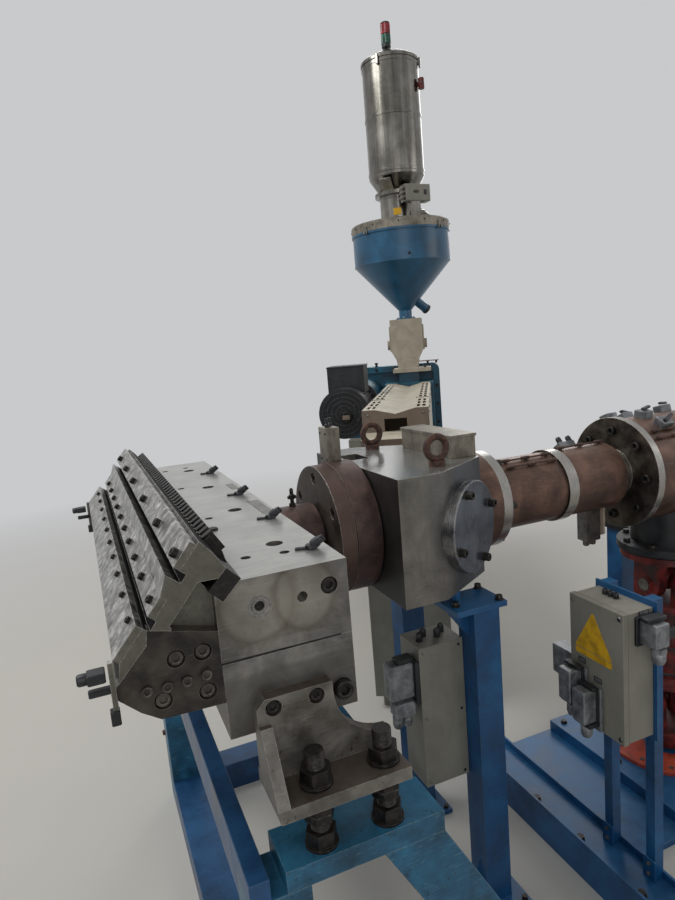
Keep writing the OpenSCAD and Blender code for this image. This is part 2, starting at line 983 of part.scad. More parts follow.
module drive_ring() {
    inner_r = ring_r - 55;
    color("#c8503a")
        translate([0, 0, base_h])
            rotate_extrude()
                polygon([
                    [shaft_tube_r + 30, 0], [ring_r, 0], [ring_r, ring_t], [inner_r, ring_t],
                    [inner_r, 4], [shaft_tube_r + 30, 4]
                ]);
}

module pump_columns() {
    plate = pump_post + 16;
    color(blue)
        on_line()
            both_sides() {
                block(
                    [post_x - pump_post / 2, -post_y - pump_post / 2, base_h],
                    [pump_post, pump_post, adapter_bottom - base_h]
                );
                block([post_x - plate / 2, -post_y - plate / 2, base_h], [plate, plate, 12]);
            }
}

// Front frame and boxes

module base_frame() {
    half_y = post_y + pump_post / 2 + 20;
    color(blue)
        on_line() {
            block([channel_x, -620, 0], [channel_w, 1240, channel_h]);
            block(
                [channel_x + channel_w, -half_y, 0],
                [drive_x - base_half_l - channel_x - channel_w, 2 * half_y, 20]
            );
        }
}

module junction_box() {
    lid_t = 16;
    color("#8c8c86")
        on_line() {
            block(
                [junction_x + lid_t, junction_y - junction_w / 2, junction_z],
                [junction_d - lid_t, junction_w, junction_h]
            );
            block(
                [junction_x, junction_y - junction_w / 2 - 2, junction_z - 2],
                [lid_t, junction_w + 4, junction_h + 4]
            );
        }
}

module junction_posts() {
    back_x = junction_x + junction_d;
    post_top = junction_z + junction_h + 16;
    post = 30;
    color(blue)
        on_line() {
            block(
                [back_x, junction_y - junction_w / 2 - 12, junction_z - 14],
                [plate_t, junction_w + 24, junction_h + 30]
            );
            for (side = [-1, 1])
                block(
                    [back_x + plate_t, junction_y + side * 72 - post / 2, channel_h],
                    [post, post, post_top - channel_h]
                );
        }
}

module plug_hoods() {
    hood = [56, 44, 90];
    top_hood = [44, 56, 62];
    low_z = junction_z + 30;
    high_z = junction_z + 66;
    top_z = junction_z + junction_h - 80;
    color("#8e9294")
        on_line() {
            block([junction_x - hood[0], junction_y + 58 - hood[1] / 2, high_z], hood);
            block([junction_x - hood[0], junction_y + 8 - hood[1] / 2, low_z], hood);
            block([junction_x + 48, junction_y - junction_w / 2 - top_hood[1], top_z], top_hood);
        }
}

module block_columns() {
    centre = [block_x + 244, -204];
    head = [150, 117, 15];
    head_x = block_x + 134;
    head_z = block_bottom - 50;
    jack = [block_x + 170, -215];
    jack_r = 12;
    base = block_post + 80;
    gusset_t = 12;
    post_front = centre[0] - block_post / 2;
    color(blue)
        on_line()
            both_sides() {
                block([post_front, centre[1] - block_post / 2, 0], [block_post, block_post, head_z]);
                block([head_x, -277, head_z], head);
                translate([jack[0], jack[1], head_z + head[2] - 1])
                    cylinder(h = block_bottom - head_z - head[2] + 1, r = jack_r);
                block([centre[0] - base / 2, centre[1] - base / 2, 0], [base, base, head[2]]);
                across(gusset_t, centre[1], head_z)
                    polygon([[post_front, 0], [head_x + 6, 0], [post_front, -90]]);
                across(gusset_t, centre[1], head[2])
                    polygon([[post_front, 0], [centre[0] - base / 2 + 2, 0], [post_front, 125]]);
            }
}

module heater_cabinet() {
    cabinet = [133, 105, 400];
    cover_t = 2;
    cabinet_x = block_x + 205 - cabinet[0];
    cabinet_z = melt_z - 715;
    color("#80807c")
        on_line() {
            block([cabinet_x, -180, cabinet_z], cabinet);
            block([cabinet_x - 2, -180 - cover_t, cabinet_z + 2], [cabinet[0], cover_t, cabinet[2] - 4]);
        }
}

// Side extruder

module side_barrel() {
    color(brown)
        on_side_axis(melt_z) {
            rod_x(0, 40, port_r);
            rod_x(40, cover_end - 40, barrel_r - 25);
            rod_x(90, cover_start - 130, barrel_r);
            for (i = [0 : floor((cover_l - 80) / barrel_band_pitch) - 1])
                rod_x(cover_start + 60 + i * barrel_band_pitch, barrel_band_pitch - 40, barrel_r);
        }
}

// The outline of a sheet cover, with a shallow valley along its top
module cover_outline(half, top, valley, bottom) {
    shoulder = half - 52;
    polygon([
        [-half, bottom], [-half, top], [-shoulder, top], [0, top - valley], [shoulder, top],
        [half, top], [half, bottom]
    ]);
}

// One section of sheet cover, open below
module cover_section(x, l, half, top, valley) {
    difference() {
        along_side(x, l)
            cover_outline(half, top, valley, -cover_down);
        along_side(x + cover_wall, l - 2 * cover_wall)
            cover_outline(half - cover_wall, top - cover_wall, valley, -cover_down - 1);
    }
}

// Sheet covers over the barrel: two sections with rows of vent slots, and a low hood in front
module barrel_cover() {
    half = cover_w / 2;
    sections = [[cover_start, near_cover_l], [cover_start + near_cover_l, cover_l - near_cover_l]];
    hood_l = 200;
    hood_half = 120;
    hood_up = cover_up - 90;
    notch = [90, 50];
    slot = [slot_pitch - 34, 12];
    color("#d6cfb8")
        on_side_axis(melt_z)
            difference() {
                union() {
                    for (part = sections)
                        cover_section(part[0], part[1], half, cover_up, cover_valley);
                    cover_section(cover_start - hood_l, hood_l, hood_half, hood_up, 0);
                }
                rod_x(cover_start - hood_l - 1, cover_l + hood_l + 2, barrel_r + 5);
                translate([cover_start - 1, -notch[0] / 2, hood_up + 2])
                    cube([cover_wall + 2, notch[0], notch[1]]);
                for (part = sections, side = [-1, 1], in = [20, 42])
                    for (i = [1 : floor((part[1] - 60) / slot_pitch)])
                        translate([part[0] + 30 + (i - 0.5) * slot_pitch, side * (half - in), cover_up])
                            block([-slot[0] / 2, -slot[1] / 2, -10], [slot[0], slot[1], 20]);
            }
}

// The outline of the gearbox housing seen along the barrel, with round upper corners
module housing_outline(inset) {
    corner_r = 45 - inset / 2;
    low = [-gearbox_half_w + inset, -cover_down + inset];
    high = [housing_w - inset, housing_up - inset];
    translate(low)
        square([high[0] - low[0], high[1] - corner_r - low[1]]);
    translate([low[0] + corner_r, low[1]])
        square([high[0] - low[0] - 2 * corner_r, high[1] - low[1]]);
    for (y = [low[0] + corner_r, high[0] - corner_r])
        translate([y, high[1] - corner_r])
            circle(r = corner_r);
}

// The feed section under the hopper, the rimmed gearbox housing and the motor's lantern
module side_gearbox() {
    feed_half = 150;
    feed_block = [124, 124];
    lantern_r = motor_r - 5;
    lantern_flange = 24;
    color(blue)
        on_side_axis(melt_z) {
            difference() {
                along_side(housing_x, gearbox_end - housing_x)
                    housing_outline(0);
                along_side(housing_x - 1, housing_recess + 1)
                    housing_outline(housing_rim);
            }
            block(
                [cover_end, -feed_half, -cover_down],
                [housing_x - cover_end + housing_recess, 2 * feed_half, cover_down + cover_up]
            );
            block(
                [feed_at - feed_block[0] / 2, -feed_block[1] / 2, cover_up],
                [feed_block[0], feed_block[1], casting_foot_z - melt_z - cover_up]
            );
            translate([0, motor_side, motor_z - melt_z]) {
                rod_x(motor_face, housing_x - motor_face + housing_recess, lantern_r);
                rod_x(motor_face, lantern_flange, motor_r + 15);
            }
        }
}

module side_motor() {
    fan_l = 100;
    foot_l = 20;
    cover_r = motor_r + 15;
    core_r = motor_r - 12;
    fin_count = 24;
    fin_t = 4;
    fin_deep = 20;
    start = motor_face - motor_l;
    terminal = [190, 190, 140];
    color("#1b1c1f")
        on_side_axis(motor_z)
            translate([0, motor_side, 0]) {
                rod_x(start, fan_l, cover_r);
                rod_x(start + fan_l, motor_l - fan_l, core_r);
                rod_x(motor_face - foot_l, foot_l, cover_r);
                for (i = [0 : fin_count - 1])
                    rotate([i * 360 / fin_count, 0, 0])
                        block(
                            [start + fan_l, -fin_t / 2, motor_r - fin_deep],
                            [motor_l - fan_l - foot_l, fin_t, fin_deep]
                        );
                block([start + 160, -terminal[1] / 2, motor_r - 22], terminal);
            }
}

// The stand under the barrel and gearbox, set back at its foot
module side_stand() {
    plinth_h = 60;
    plinth_in = 30;
    long_half = 170;
    long_x = cover_start + 60;
    wide_x = housing_x - 90;
    body_h = melt_z - cover_down - plinth_h;
    color("#9a9a96")
        on_side_axis() {
            block([long_x, -long_half, plinth_h], [gearbox_end - long_x, 2 * long_half, body_h]);
            block([wide_x, long_half, plinth_h], [gearbox_end - wide_x, housing_w - long_half, body_h]);
            block(
                [long_x + plinth_in, -long_half + plinth_in, 0],
                [gearbox_end - long_x - 2 * plinth_in, 2 * (long_half - plinth_in), plinth_h]
            );
            block(
                [wide_x + plinth_in, long_half - plinth_in, 0],
                [gearbox_end - wide_x - 2 * plinth_in, housing_w - long_half, plinth_h]
            );
        }
}

// Hopper and loader

// The cast feed throat: a foot plate, a waisted body with ribs and side bosses, a top flange
module feed_casting() {
    half = casting_w / 2;
    foot = [200, 236, 25];
    waist_half = 62;
    body_l = 170;
    rib = [10, casting_w + 16, casting_h - 150];
    boss_r = 30;
    boss_z = 175;
    color("#d6cfb8")
        on_side_axis(casting_foot_z)
            translate([feed_at, 0, 0])
                difference() {
                    union() {
                        block([-foot[0] / 2, -foot[1] / 2 - 22, 0], foot);
                        translate([body_l / 2, 0, foot[2]])
                            rotate([90, 0, -90])
                                linear_extrude(body_l)
                                    polygon([
                                        [-waist_half, 0], [waist_half, 0], [waist_half + 8, 55],
                                        [half, 110], [half, casting_h], [-half, casting_h],
                                        [-half, 110], [-waist_half - 8, 55]
                                    ]);
                        for (x = [-60, 0, 60])
                            block([x - rib[0] / 2, -rib[1] / 2, 135], rib);
                        translate([0, half + 25, boss_z])
                            rotate([90, 0, 0])
                                cylinder(h = casting_w + 50, r = boss_r);
                    }
                    translate([0, 0, -1])
                        cylinder(h = casting_h + foot[2] + 2, r = outlet_r - 3);
                }
}

// The space inside the hopper, drawn a little past its open ends
module hopper_inside() {
    rise = hopper_z - casting_top_z;
    in_r = hopper_r - hopper_t;
    top = rise + cone_h + hopper_wall_h;
    rotate_extrude()
        polygon([
            [0, -1], [outlet_r - hopper_t, -1], [outlet_r - hopper_t, rise + 2],
            [in_r, rise + cone_h + 2], [in_r, top + 1], [0, top + 1]
        ]);
}

// The hopper with its outlet flange, top rim and the short drain tube on its cone
module hopper_shell() {
    rise = hopper_z - casting_top_z;
    cone_top = rise + cone_h;
    top = cone_top + hopper_wall_h;
    rim = 7;
    flange_w = 22;
    drain_r = 28;
    drain_l = 102;
    drain_z = rise + 60;
    drain_x = outlet_r + 60 * (hopper_r - outlet_r) / cone_h - 16;
    color("#3f76a8")
        on_hopper(casting_top_z)
            difference() {
                union() {
                    rotate_extrude()
                        polygon([
                            [0, 0], [outlet_r + flange_w, 0], [outlet_r + flange_w, 8], [outlet_r, 8],
                            [outlet_r, rise], [hopper_r, cone_top], [hopper_r, top - 12],
                            [hopper_r + rim, top - 12], [hopper_r + rim, top], [0, top]
                        ]);
                    translate([drain_x, 0, drain_z])
                        rotate([0, 90 + 38, 0])
                            cylinder(h = drain_l, r = drain_r);
                }
                hopper_inside();
            }
}

module hopper_lid() {
    lid_r = hopper_r + 7;
    skin = 5;
    color(steel)
        on_hopper(hopper_top_z)
            rotate_extrude()
                polygon([
                    [lid_r - 9, 0], [lid_r, 0], [lid_r, lid_h - 8], [lid_r - 8, lid_h], [0, lid_h],
                    [0, lid_h - skin], [lid_r - 9, lid_h - skin]
                ]);
}

// The loader's neck with its clamp ring, the control box on its post and the round vent housing
module loader_base() {
    rise = vessel_z - loader_z;
    neck_out = 112;
    clamp_out = 140;
    clamp_low = 165;
    clamp_high = 185;
    control = [165, 60, 95];
    control_low = [-81, -238, 89];
    post = [60, 50];
    vent_r = 85;
    color(steel)
        on_hopper(loader_z) {
            rotate_extrude()
                polygon([
                    [0, 0], [neck_out, 0], [neck_out, clamp_low], [clamp_out, clamp_low],
                    [clamp_out, clamp_high], [neck_out, clamp_high], [loader_r, rise - 6],
                    [loader_r, rise], [0, rise]
                ]);
            block(control_low, control);
            block([control_low[0] + 40, control_low[1] + 5, 0], [post[0], post[1], control_low[2]]);
            block([-20, control_low[1] + control[1], control_low[2] + 25], [40, 90, 40]);
            difference() {
                translate([98, -54, 0])
                    sphere(r = vent_r);
                block([-vent_r, -2 * vent_r, -vent_r - 1], [4 * vent_r, 4 * vent_r, vent_r + 1]);
            }
        }
}

module loader_vessel() {
    vessel_t = 6;
    color(steel)
        on_hopper(vessel_z)
            difference() {
                cylinder(h = loader_h, r = loader_r);
                translate([0, 0, vessel_t])
                    cylinder(h = loader_h, r = loader_r - vessel_t);
            }
}

module loader_dome() {
    rim = 6;
    color(steel)
        on_hopper(dome_z)
            rotate_extrude()
                polygon([
                    [0, 0], [loader_r + rim, 0], [loader_r + rim, 16], [loader_r - 8, 26],
                    [120, 48], [60, dome_h], [0, dome_h]
                ]);
}

module signal_lamp() {
    stem_h = 40;
    stem_r = 9;
    lamp_h = 140;
    lamp_r = 28;
    color("#a02620")
        on_hopper(dome_z + dome_h)
            translate([-14, 0, 0]) {
                cylinder(h = stem_h, r = stem_r);
                translate([0, 0, stem_h])
                    cylinder(h = lamp_h, r = lamp_r);
            }
}

die_upper_body();
die_lower_body();
upper_lip_body();
lip_bolt_bars();
lower_lip_body();
die_end_plates();
restrictor_bar();
die_brackets();
bracket_studs();
stand_heads();
stand_legs();
stand_rails();
melt_neck();
adapter_flange();
adapter_heater();
terminal_boxes();
feedblock();
feed_port_cap();
lifting_eyes();
inlet_pipe();
pipe_heaters();
pump_body();
drive_adapter();
drive_shaft();
drive_base();
drive_ring();
pump_columns();
base_frame();
junction_box();
junction_posts();
plug_hoods();
block_columns();
heater_cabinet();
side_barrel();
barrel_cover();
side_gearbox();
side_motor();
side_stand();
feed_casting();
hopper_shell();
hopper_lid();
loader_base();
loader_vessel();
loader_dome();
signal_lamp();
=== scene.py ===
import json
import math

import bmesh
import bpy
import numpy as np
from mathutils import Matrix, Vector

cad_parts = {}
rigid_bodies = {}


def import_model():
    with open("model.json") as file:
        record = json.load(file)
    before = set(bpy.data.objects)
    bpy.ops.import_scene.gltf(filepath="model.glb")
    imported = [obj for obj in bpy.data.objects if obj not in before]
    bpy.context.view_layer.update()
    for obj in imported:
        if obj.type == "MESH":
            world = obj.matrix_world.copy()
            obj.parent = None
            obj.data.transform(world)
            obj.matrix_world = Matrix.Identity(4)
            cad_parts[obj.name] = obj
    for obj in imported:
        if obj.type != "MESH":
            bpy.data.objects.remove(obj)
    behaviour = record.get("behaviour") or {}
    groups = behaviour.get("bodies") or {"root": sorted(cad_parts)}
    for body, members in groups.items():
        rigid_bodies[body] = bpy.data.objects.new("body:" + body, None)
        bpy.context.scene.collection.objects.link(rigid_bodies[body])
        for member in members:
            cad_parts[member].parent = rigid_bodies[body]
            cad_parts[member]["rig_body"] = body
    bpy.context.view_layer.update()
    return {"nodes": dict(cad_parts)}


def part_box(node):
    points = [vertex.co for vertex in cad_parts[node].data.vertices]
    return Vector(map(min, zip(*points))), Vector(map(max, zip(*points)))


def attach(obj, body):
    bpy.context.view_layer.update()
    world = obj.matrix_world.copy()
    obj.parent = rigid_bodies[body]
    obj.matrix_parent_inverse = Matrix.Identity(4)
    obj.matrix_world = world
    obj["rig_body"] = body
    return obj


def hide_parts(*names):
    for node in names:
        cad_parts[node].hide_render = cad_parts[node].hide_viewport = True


bl_info = {
    "name": "Sheet extruder dressing",
    "version": (1, 0, 0),
    "blender": (4, 5, 0),
    "location": "View3D > Sidebar > Extruder",
    "description": "Screws, fittings, finishes and studio for the head end of a sheet extrusion line",
    "category": "Object",
}

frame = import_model()

# Stations of the melt line in millimetres: X from the die lip, Y across, Z above the floor. The
# frame's origin is on the floor below the cardan shaft, DRIVE_X behind the lip. The die reaches
# HALF_W to each side, and its lip slopes up from LIP_FOOT_Z
DRIVE_X = 1830.0
MELT_Z = 1100.0
HALF_W = 615.0
LIP_FOOT_Z = 1150.0
SLOPE = math.radians(50)

# The side extruder runs off the feedblock's far port at PORT_ANGLE from square. MOTOR is its
# motor's axis: left of the barrel's towards the die, and above the floor
PORT_ANGLE = math.radians(31)
PORT = np.array([877.5, 209.8])
MOTOR = (290, 1250)
HOPPER = np.array([2005.4, 2087.0])

# Directions
UP = (0, 0, 1)
DOWN = (0, 0, -1)
NEAR = (0, -1, 0)
FAR = (0, 1, 0)
FRONT = (-1, 0, 0)
BACK = (1, 0, 0)
ALONG = (math.sin(PORT_ANGLE), math.cos(PORT_ANGLE), 0)
TO_DIE = (-math.cos(PORT_ANGLE), math.sin(PORT_ANGLE), 0)
FROM_DIE = tuple(-c for c in TO_DIE)
TO_BLOCK = tuple(-c for c in ALONG)
SLOPE_OUT = (-math.sin(SLOPE), 0, math.cos(SLOPE))

# The sky's colour, its strength where the camera and the metal see it, and its strength as light
SKY = (0.97, 0.98, 1.0, 1.0)
BACKGROUND = 0.60
DAYLIGHT = 0.32

# The floor keeps its own look up to the first of these distances from its middle, and has the
# background's from the second one on, in metres
FLOOR_MIDDLE = (-0.7, 0.6, 0)
FLOOR_FADE = (2.2, 6.2)

# Soft square lamps: name, place and size in metres, and power in watts. All face LAMP_AIM
LAMPS = (
    ("key", (-3.6, 1.6, 5.4), 2.4, 125),
    ("fill", (-2.6, -4.6, 2.6), 3.0, 36),
    ("back", (2.8, 5.2, 4.2), 3.0, 70),
    ("side", (4.2, -1.6, 2.8), 2.5, 26),
)
LAMP_AIM = (-0.8, 0.6, 1.2)

# The photo's camera: place in metres; turned from +Y towards +X, down and about its own axis in
# degrees; and its focal length in pixels of a picture that is 900 pixels high
CAMERA_PLACE = (-1.830, -1.569, 1.576)
CAMERA_TURN = (21.86, 9.07, -4.745)
FOCAL_PIXELS = 641.34
PICTURE_PIXELS = 900
SENSOR = 36.0


# Colours

def linear(hex_colour):
    """Turns an sRGB hex colour into linear red, green, blue and full alpha: a dark channel is
    divided by 12.92, a brighter one has 0.055 added, is divided by 1.055 and raised to 2.4."""
    channels = np.array([int(hex_colour[i:i + 2], 16) for i in (1, 3, 5)]) / 255
    bright = ((channels + 0.055) / 1.055) ** 2.4
    return (*np.where(channels <= 0.04045, channels / 12.92, bright), 1.0)


def colour_prop(name, description, hex_colour):
    """A colour property whose default is an sRGB hex colour."""
    return bpy.props.FloatVectorProperty(
        name=name, description=description, subtype="COLOR", size=4, min=0, max=1,
        default=linear(hex_colour),
    )


def length_prop(name, description, millimetres):
    """A length property in metres with its default in millimetres."""
    return bpy.props.FloatProperty(
        name=name, description=description, default=millimetres / 1000, min=0,
        unit="LENGTH", subtype="DISTANCE",
    )


class ExtruderFinish(bpy.types.PropertyGroup):
    """The main colour of each finish."""

    steel: colour_prop("Machined steel", "Milled and oiled die blocks", "#757370")
    lip: colour_prop("Ground lip steel", "Ground and scratched faces of the lip bars", "#93918c")
    bracket: colour_prop("Bracket steel", "Oily flanks of the die's brackets", "#716e68")
    oiled: colour_prop("Oiled steel", "Sunk screws of the end plates", "#4a4640")
    casting: colour_prop("Casting enamel", "Beige paint of the feed casting", "#aaa08e")
    stained: colour_prop("Stained steel", "Steel browned by heat and polymer smoke", "#3c3731")
    dark: colour_prop("Blackened steel", "Black oxide screws, studs and comb", "#1f1d1c")
    heater: colour_prop("Heater band sheet", "Band sheet browned by years of heat", "#5d453a")
    adapter: colour_prop("Adapter heater sheet", "Dark heater ring of the adapter", "#4e3d39")
    flange: colour_prop("Smoked flange steel", "Turned flanges and pipe", "#504942")
    block: colour_prop("Feedblock steel", "Satin flanks of the feedblock", "#726f68")
    turned: colour_prop("Turned steel", "Port plugs", "#7f7e80")
    stainless: colour_prop("Stainless sheet", "Brushed stainless vessels", "#7e7b74")
    dull: colour_prop("Dull sheet", "Terminal boxes and hopper lid", "#7d766a")
    blue: colour_prop("Blue enamel", "Paint of the frames", "#104c7d")
    # Darker than the frames' blue: painted shade under the die, with oil and carbon on the rails
    rail: colour_prop("Oily blue enamel", "Grimy paint of the die stand's rails", "#123f6a")
    teal: colour_prop("Teal enamel", "Paint of the die stand", "#215b7b")
    petrol: colour_prop("Petrol enamel", "Paint of the side gearbox", "#11475c")
    hopper: colour_prop("Hopper enamel", "Paint of the hopper", "#1e5576")
    grey: colour_prop("Grey powder coat", "Cabinets and junction box", "#828076")
    cream: colour_prop("Cream enamel", "Paint of the barrel cover", "#bcb4a2")
    red: colour_prop("Dark red enamel", "Cardan shaft", "#551614")
    orange: colour_prop("Red-orange enamel", "Ring on the drive base", "#a5402b")
    black: colour_prop("Black enamel", "Motor, drive housing and plastic fittings", "#17191d")
    rusty: colour_prop("Rusty forging", "Lifting eyes", "#49342d")
    alloy: colour_prop("Die-cast alloy", "Plug hoods", "#7a7d80")
    lens: colour_prop("Red lens", "Upper section of the signal lamp", "#8f1d24")
    green_lens: colour_prop("Green lens", "Lower section of the signal lamp", "#1d5a45")
    sign: colour_prop("Sign yellow", "Plain film on the junction box and the loader", "#d9a800")
    floor: colour_prop("Floor", "Plain pale studio floor", "#d5d2ca")


class ExtruderSizes(bpy.types.PropertyGroup):
    """Sizes of the fittings that a user would change."""

    edge: length_prop("Eased edge", "Rounding of machined edges", 1.2)
    low_screw_r: length_prop("Low bar screw radius", "Heads along the lowest lip bar", 5.5)
    mid_screw_r: length_prop("Middle bar screw radius", "Heads along the middle lip bar", 6.5)
    top_screw_r: length_prop("Top bar screw radius", "Heads along the top lip bar", 8)
    end_screw_r: length_prop("End plate screw radius", "Sunk heads in the end plates", 12)
    flange_screw_r: length_prop("Flange screw radius", "Heads on the pump's inlet flange", 13.5)
    thread_pitch: length_prop("Thread pitch", "Pitch of the levelling studs' thread", 3.5)
    sign_w: length_prop("Film width", "Side of the plain yellow film", 121)
    low_screws: bpy.props.IntProperty(
        name="Lip screws", description="Screws along each of the two lower lip bars", default=10,
        min=2, max=20,
    )
    fan_bars: bpy.props.IntProperty(
        name="Fan bars", description="Radial bars of the fan grille", default=12, min=4, max=24,
    )


# Shapes: each is a grid of rows and columns in millimetres, closed round its columns

def turned(profile, sides=24, hexagons=(), knurl=()):
    """A profile of (radius, height) carried round Z.

    Rows numbered in hexagons have their radius times cos 30 over the cosine of the angle from the
    middle of the nearest flat; rows in knurl have it rippled by two percent, half the sides round."""
    profile = np.asarray(profile, float)
    angle = np.arange(sides) * 2 * math.pi / sides
    radius = np.repeat(profile[:, :1], sides, axis=1)
    sixth = math.pi / 3
    hexagon = math.cos(sixth / 2) / np.cos(angle % sixth - sixth / 2)
    ripple = 1 + 0.02 * np.cos(angle * sides / 2)
    radius[list(hexagons)] *= hexagon
    radius[list(knurl)] *= ripple
    height = np.repeat(profile[:, 1:], sides, axis=1)
    return np.stack([radius * np.cos(angle), radius * np.sin(angle), height], axis=-1)


def prism(outline, height, edge, low=0.0):
    """An outline in X and Y carried up Z, its rims drawn in by edge and closed at their middle."""
    outline = np.asarray(outline, float)
    middle = (outline.max(0) + outline.min(0)) / 2
    reach = np.abs(outline - middle).max(0)
    inner = middle + (outline - middle) * (1 - edge / reach)
    shut = np.repeat(middle[None], len(outline), axis=0)
    rows = [(shut, 0), (inner, 0), (outline, edge), (outline, height - edge), (inner, height),
            (shut, height)]
    return np.stack([np.column_stack([flat, np.full(len(flat), low + z)]) for flat, z in rows])


def rounded(width, depth, radius):
    """The outline of a rectangle round the origin: each corner's four points lie on an arc of the
    radius, a quarter turn long, about the point that is a radius in from both sides."""
    inner = np.array([width, depth]) / 2 - radius
    corners = np.array([[1, 1], [-1, 1], [-1, -1], [1, -1]]) * inner
    turn = np.arange(4)[:, None] * math.pi / 2 + np.linspace(0, math.pi / 2, 4)
    arcs = radius * np.stack([np.cos(turn), np.sin(turn)], axis=-1)
    return (corners[:, None] + arcs).reshape(-1, 2)


def box(size, radius, edge):
    """A box on the origin with round upright corners and eased rims."""
    return prism(rounded(size[0], size[1], radius), size[2], edge)


def threaded(radius, depth, pitch, length):
    """A screw thread: the radius rises and falls with height less one pitch for each turn."""
    sides = 24
    rows = int(length / pitch * 4) + 1
    height = np.linspace(0, length, rows)[:, None]
    angle = (np.arange(sides) * 2 * math.pi / sides)[None]
    wave = np.abs(((height / pitch - angle / (2 * math.pi)) % 1) - 0.5) * 2
    reach = radius + depth * wave
    grid = np.stack([reach * np.cos(angle), reach * np.sin(angle), height + 0 * angle], axis=-1)
    inner = turned([(radius - depth, 0), (radius - depth, length)], sides)
    return np.concatenate([inner[:1], grid, inner[1:], inner[:1]])


def drum(radius, height, sides=24, hexagons=()):
    """A plain drum: one radius from nought to its height, closed at both ends."""
    return turned([(0, 0), (radius, 0), (radius, height), (0, height)], sides, hexagons)


def hoop(inner, outer, height, sides, chamfer=1.5):
    """A band: out from the inner radius to the outer one over the chamfer, up, and back again."""
    return turned([(inner, 0), (outer, chamfer), (outer, height - chamfer), (inner, height),
                   (inner, 0)], sides)


def cap_screw(radius, height, sides=24):
    """A socket head: a drum with a chamfered top and a six-sided hole. Large ones are knurled."""
    chamfer = 0.12 * radius
    hole = 0.58 * radius
    deep = height - 0.5 * min(height, radius)
    rim = 0.06 * radius
    profile = [(0, 0), (radius, 0), (radius, height - chamfer), (radius - chamfer, height),
               (hole + rim, height), (hole, height - rim), (hole, deep), (0, deep)]
    return turned(profile, sides, hexagons=(5, 6), knurl=(1, 2) if sides > 24 else ())


def hex_head(radius, height):
    """A six-sided bolt head with its top corners rounded off, on a thin washer."""
    washer = radius * 1.15
    profile = [(0, 0), (washer, 0), (washer, 1.5), (radius, 1.5), (radius, height * 0.85),
               (radius * 0.84, height), (0, height)]
    return turned(profile, hexagons=(3, 4))


def gland(radius, height):
    """A cable gland: six-sided foot, ribbed dome nut and the dark mouth that is left open."""
    profile = [(0, 0), (radius, 0), (radius, height * 0.3), (radius * 0.8, height * 0.3),
               (radius * 0.9, height * 0.38), (radius * 0.9, height * 0.75), (radius * 0.7, height),
               (radius * 0.42, height), (radius * 0.42, height * 0.6), (0, height * 0.6)]
    return turned(profile, hexagons=(1, 2), knurl=(4, 5))


# Placing

def aimed(shape, spots, axis=UP, spin=0.0):
    """Copies of a shape set down at each spot, with its Z along the axis and its Y as near up as
    the axis lets it, then turned about the axis by spin degrees."""
    z = np.asarray(axis, float) / np.linalg.norm(axis)
    x = np.cross((0, 0, 1), z) if abs(z[2]) < 0.99 else np.array([1.0, 0, 0])
    x = x / np.linalg.norm(x)
    y = np.cross(z, x)
    turn = math.radians(spin)
    frame_rows = np.array([
        math.cos(turn) * x + math.sin(turn) * y, math.cos(turn) * y - math.sin(turn) * x, z,
    ])
    spots = np.atleast_2d(np.asarray(spots, float))
    return (shape @ frame_rows)[None] + spots[:, None, None]


def slope_spot(up, out, y):
    """A point on the lip: up the slope from its foot, and out from the lowest bar's face."""
    return [up * math.cos(SLOPE) - out * math.sin(SLOPE), y,
            LIP_FOOT_Z + up * math.sin(SLOPE) + out * math.cos(SLOPE)]


def end_spots(places, y):
    """Points on an upright plane at y on the near side, from their X and Z."""
    return [[x, -y, z] for x, z in places]


def side_spot(s, left, z):
    """A point of the side extruder: s from the feedblock's face, left towards the die."""
    flat = PORT + s * np.array(ALONG[:2]) + left * np.array(TO_DIE[:2])
    return [flat[0], flat[1], z]


def motor_spots(s, radius, count, first=0.0):
    """Spots round the motor's axis: angles from the left towards the top, in degrees."""
    angles = np.radians(first + np.arange(count) * 360 / count)
    return [side_spot(s, MOTOR[0] + radius * math.cos(angle), MOTOR[1] + radius * math.sin(angle))
            for angle in angles]


def hopper_spot(x, y, z):
    """A point measured from the hopper's axis, square to the melt line."""
    return np.array([HOPPER[0] + x, HOPPER[1] + y, z])


def circle_spots(centre, radius, count, first):
    """Spots round an upright axis: angles from the back towards the far side, in degrees."""
    angle = np.radians(first + np.arange(count) * 360 / count)
    return centre + radius * np.column_stack([np.cos(angle), np.sin(angle), 0 * angle])


def melt_out(degrees):
    """The way out of the melt axis at an angle from the top towards the near side."""
    angle = math.radians(degrees)
    return np.array([0, -math.sin(angle), math.cos(angle)])


def ring_spots(x, radius, count, first=0.0):
    """Spots round the melt axis: angles from the top towards the near side, in degrees."""
    return [radius * melt_out(first + 360 * k / count) + [x, 0, MELT_Z] for k in range(count)]


def both_ends(points):
    """The points, and the same points with the sign of Y changed."""
    points = np.atleast_2d(np.asarray(points, float))
    return np.concatenate([points, points * [1, -1, 1]])


def both_sides(grids):
    """Placed grids, and the same grids with the sign of Y changed."""
    return np.concatenate([grids, grids * [1, -1, 1]])


# Meshes

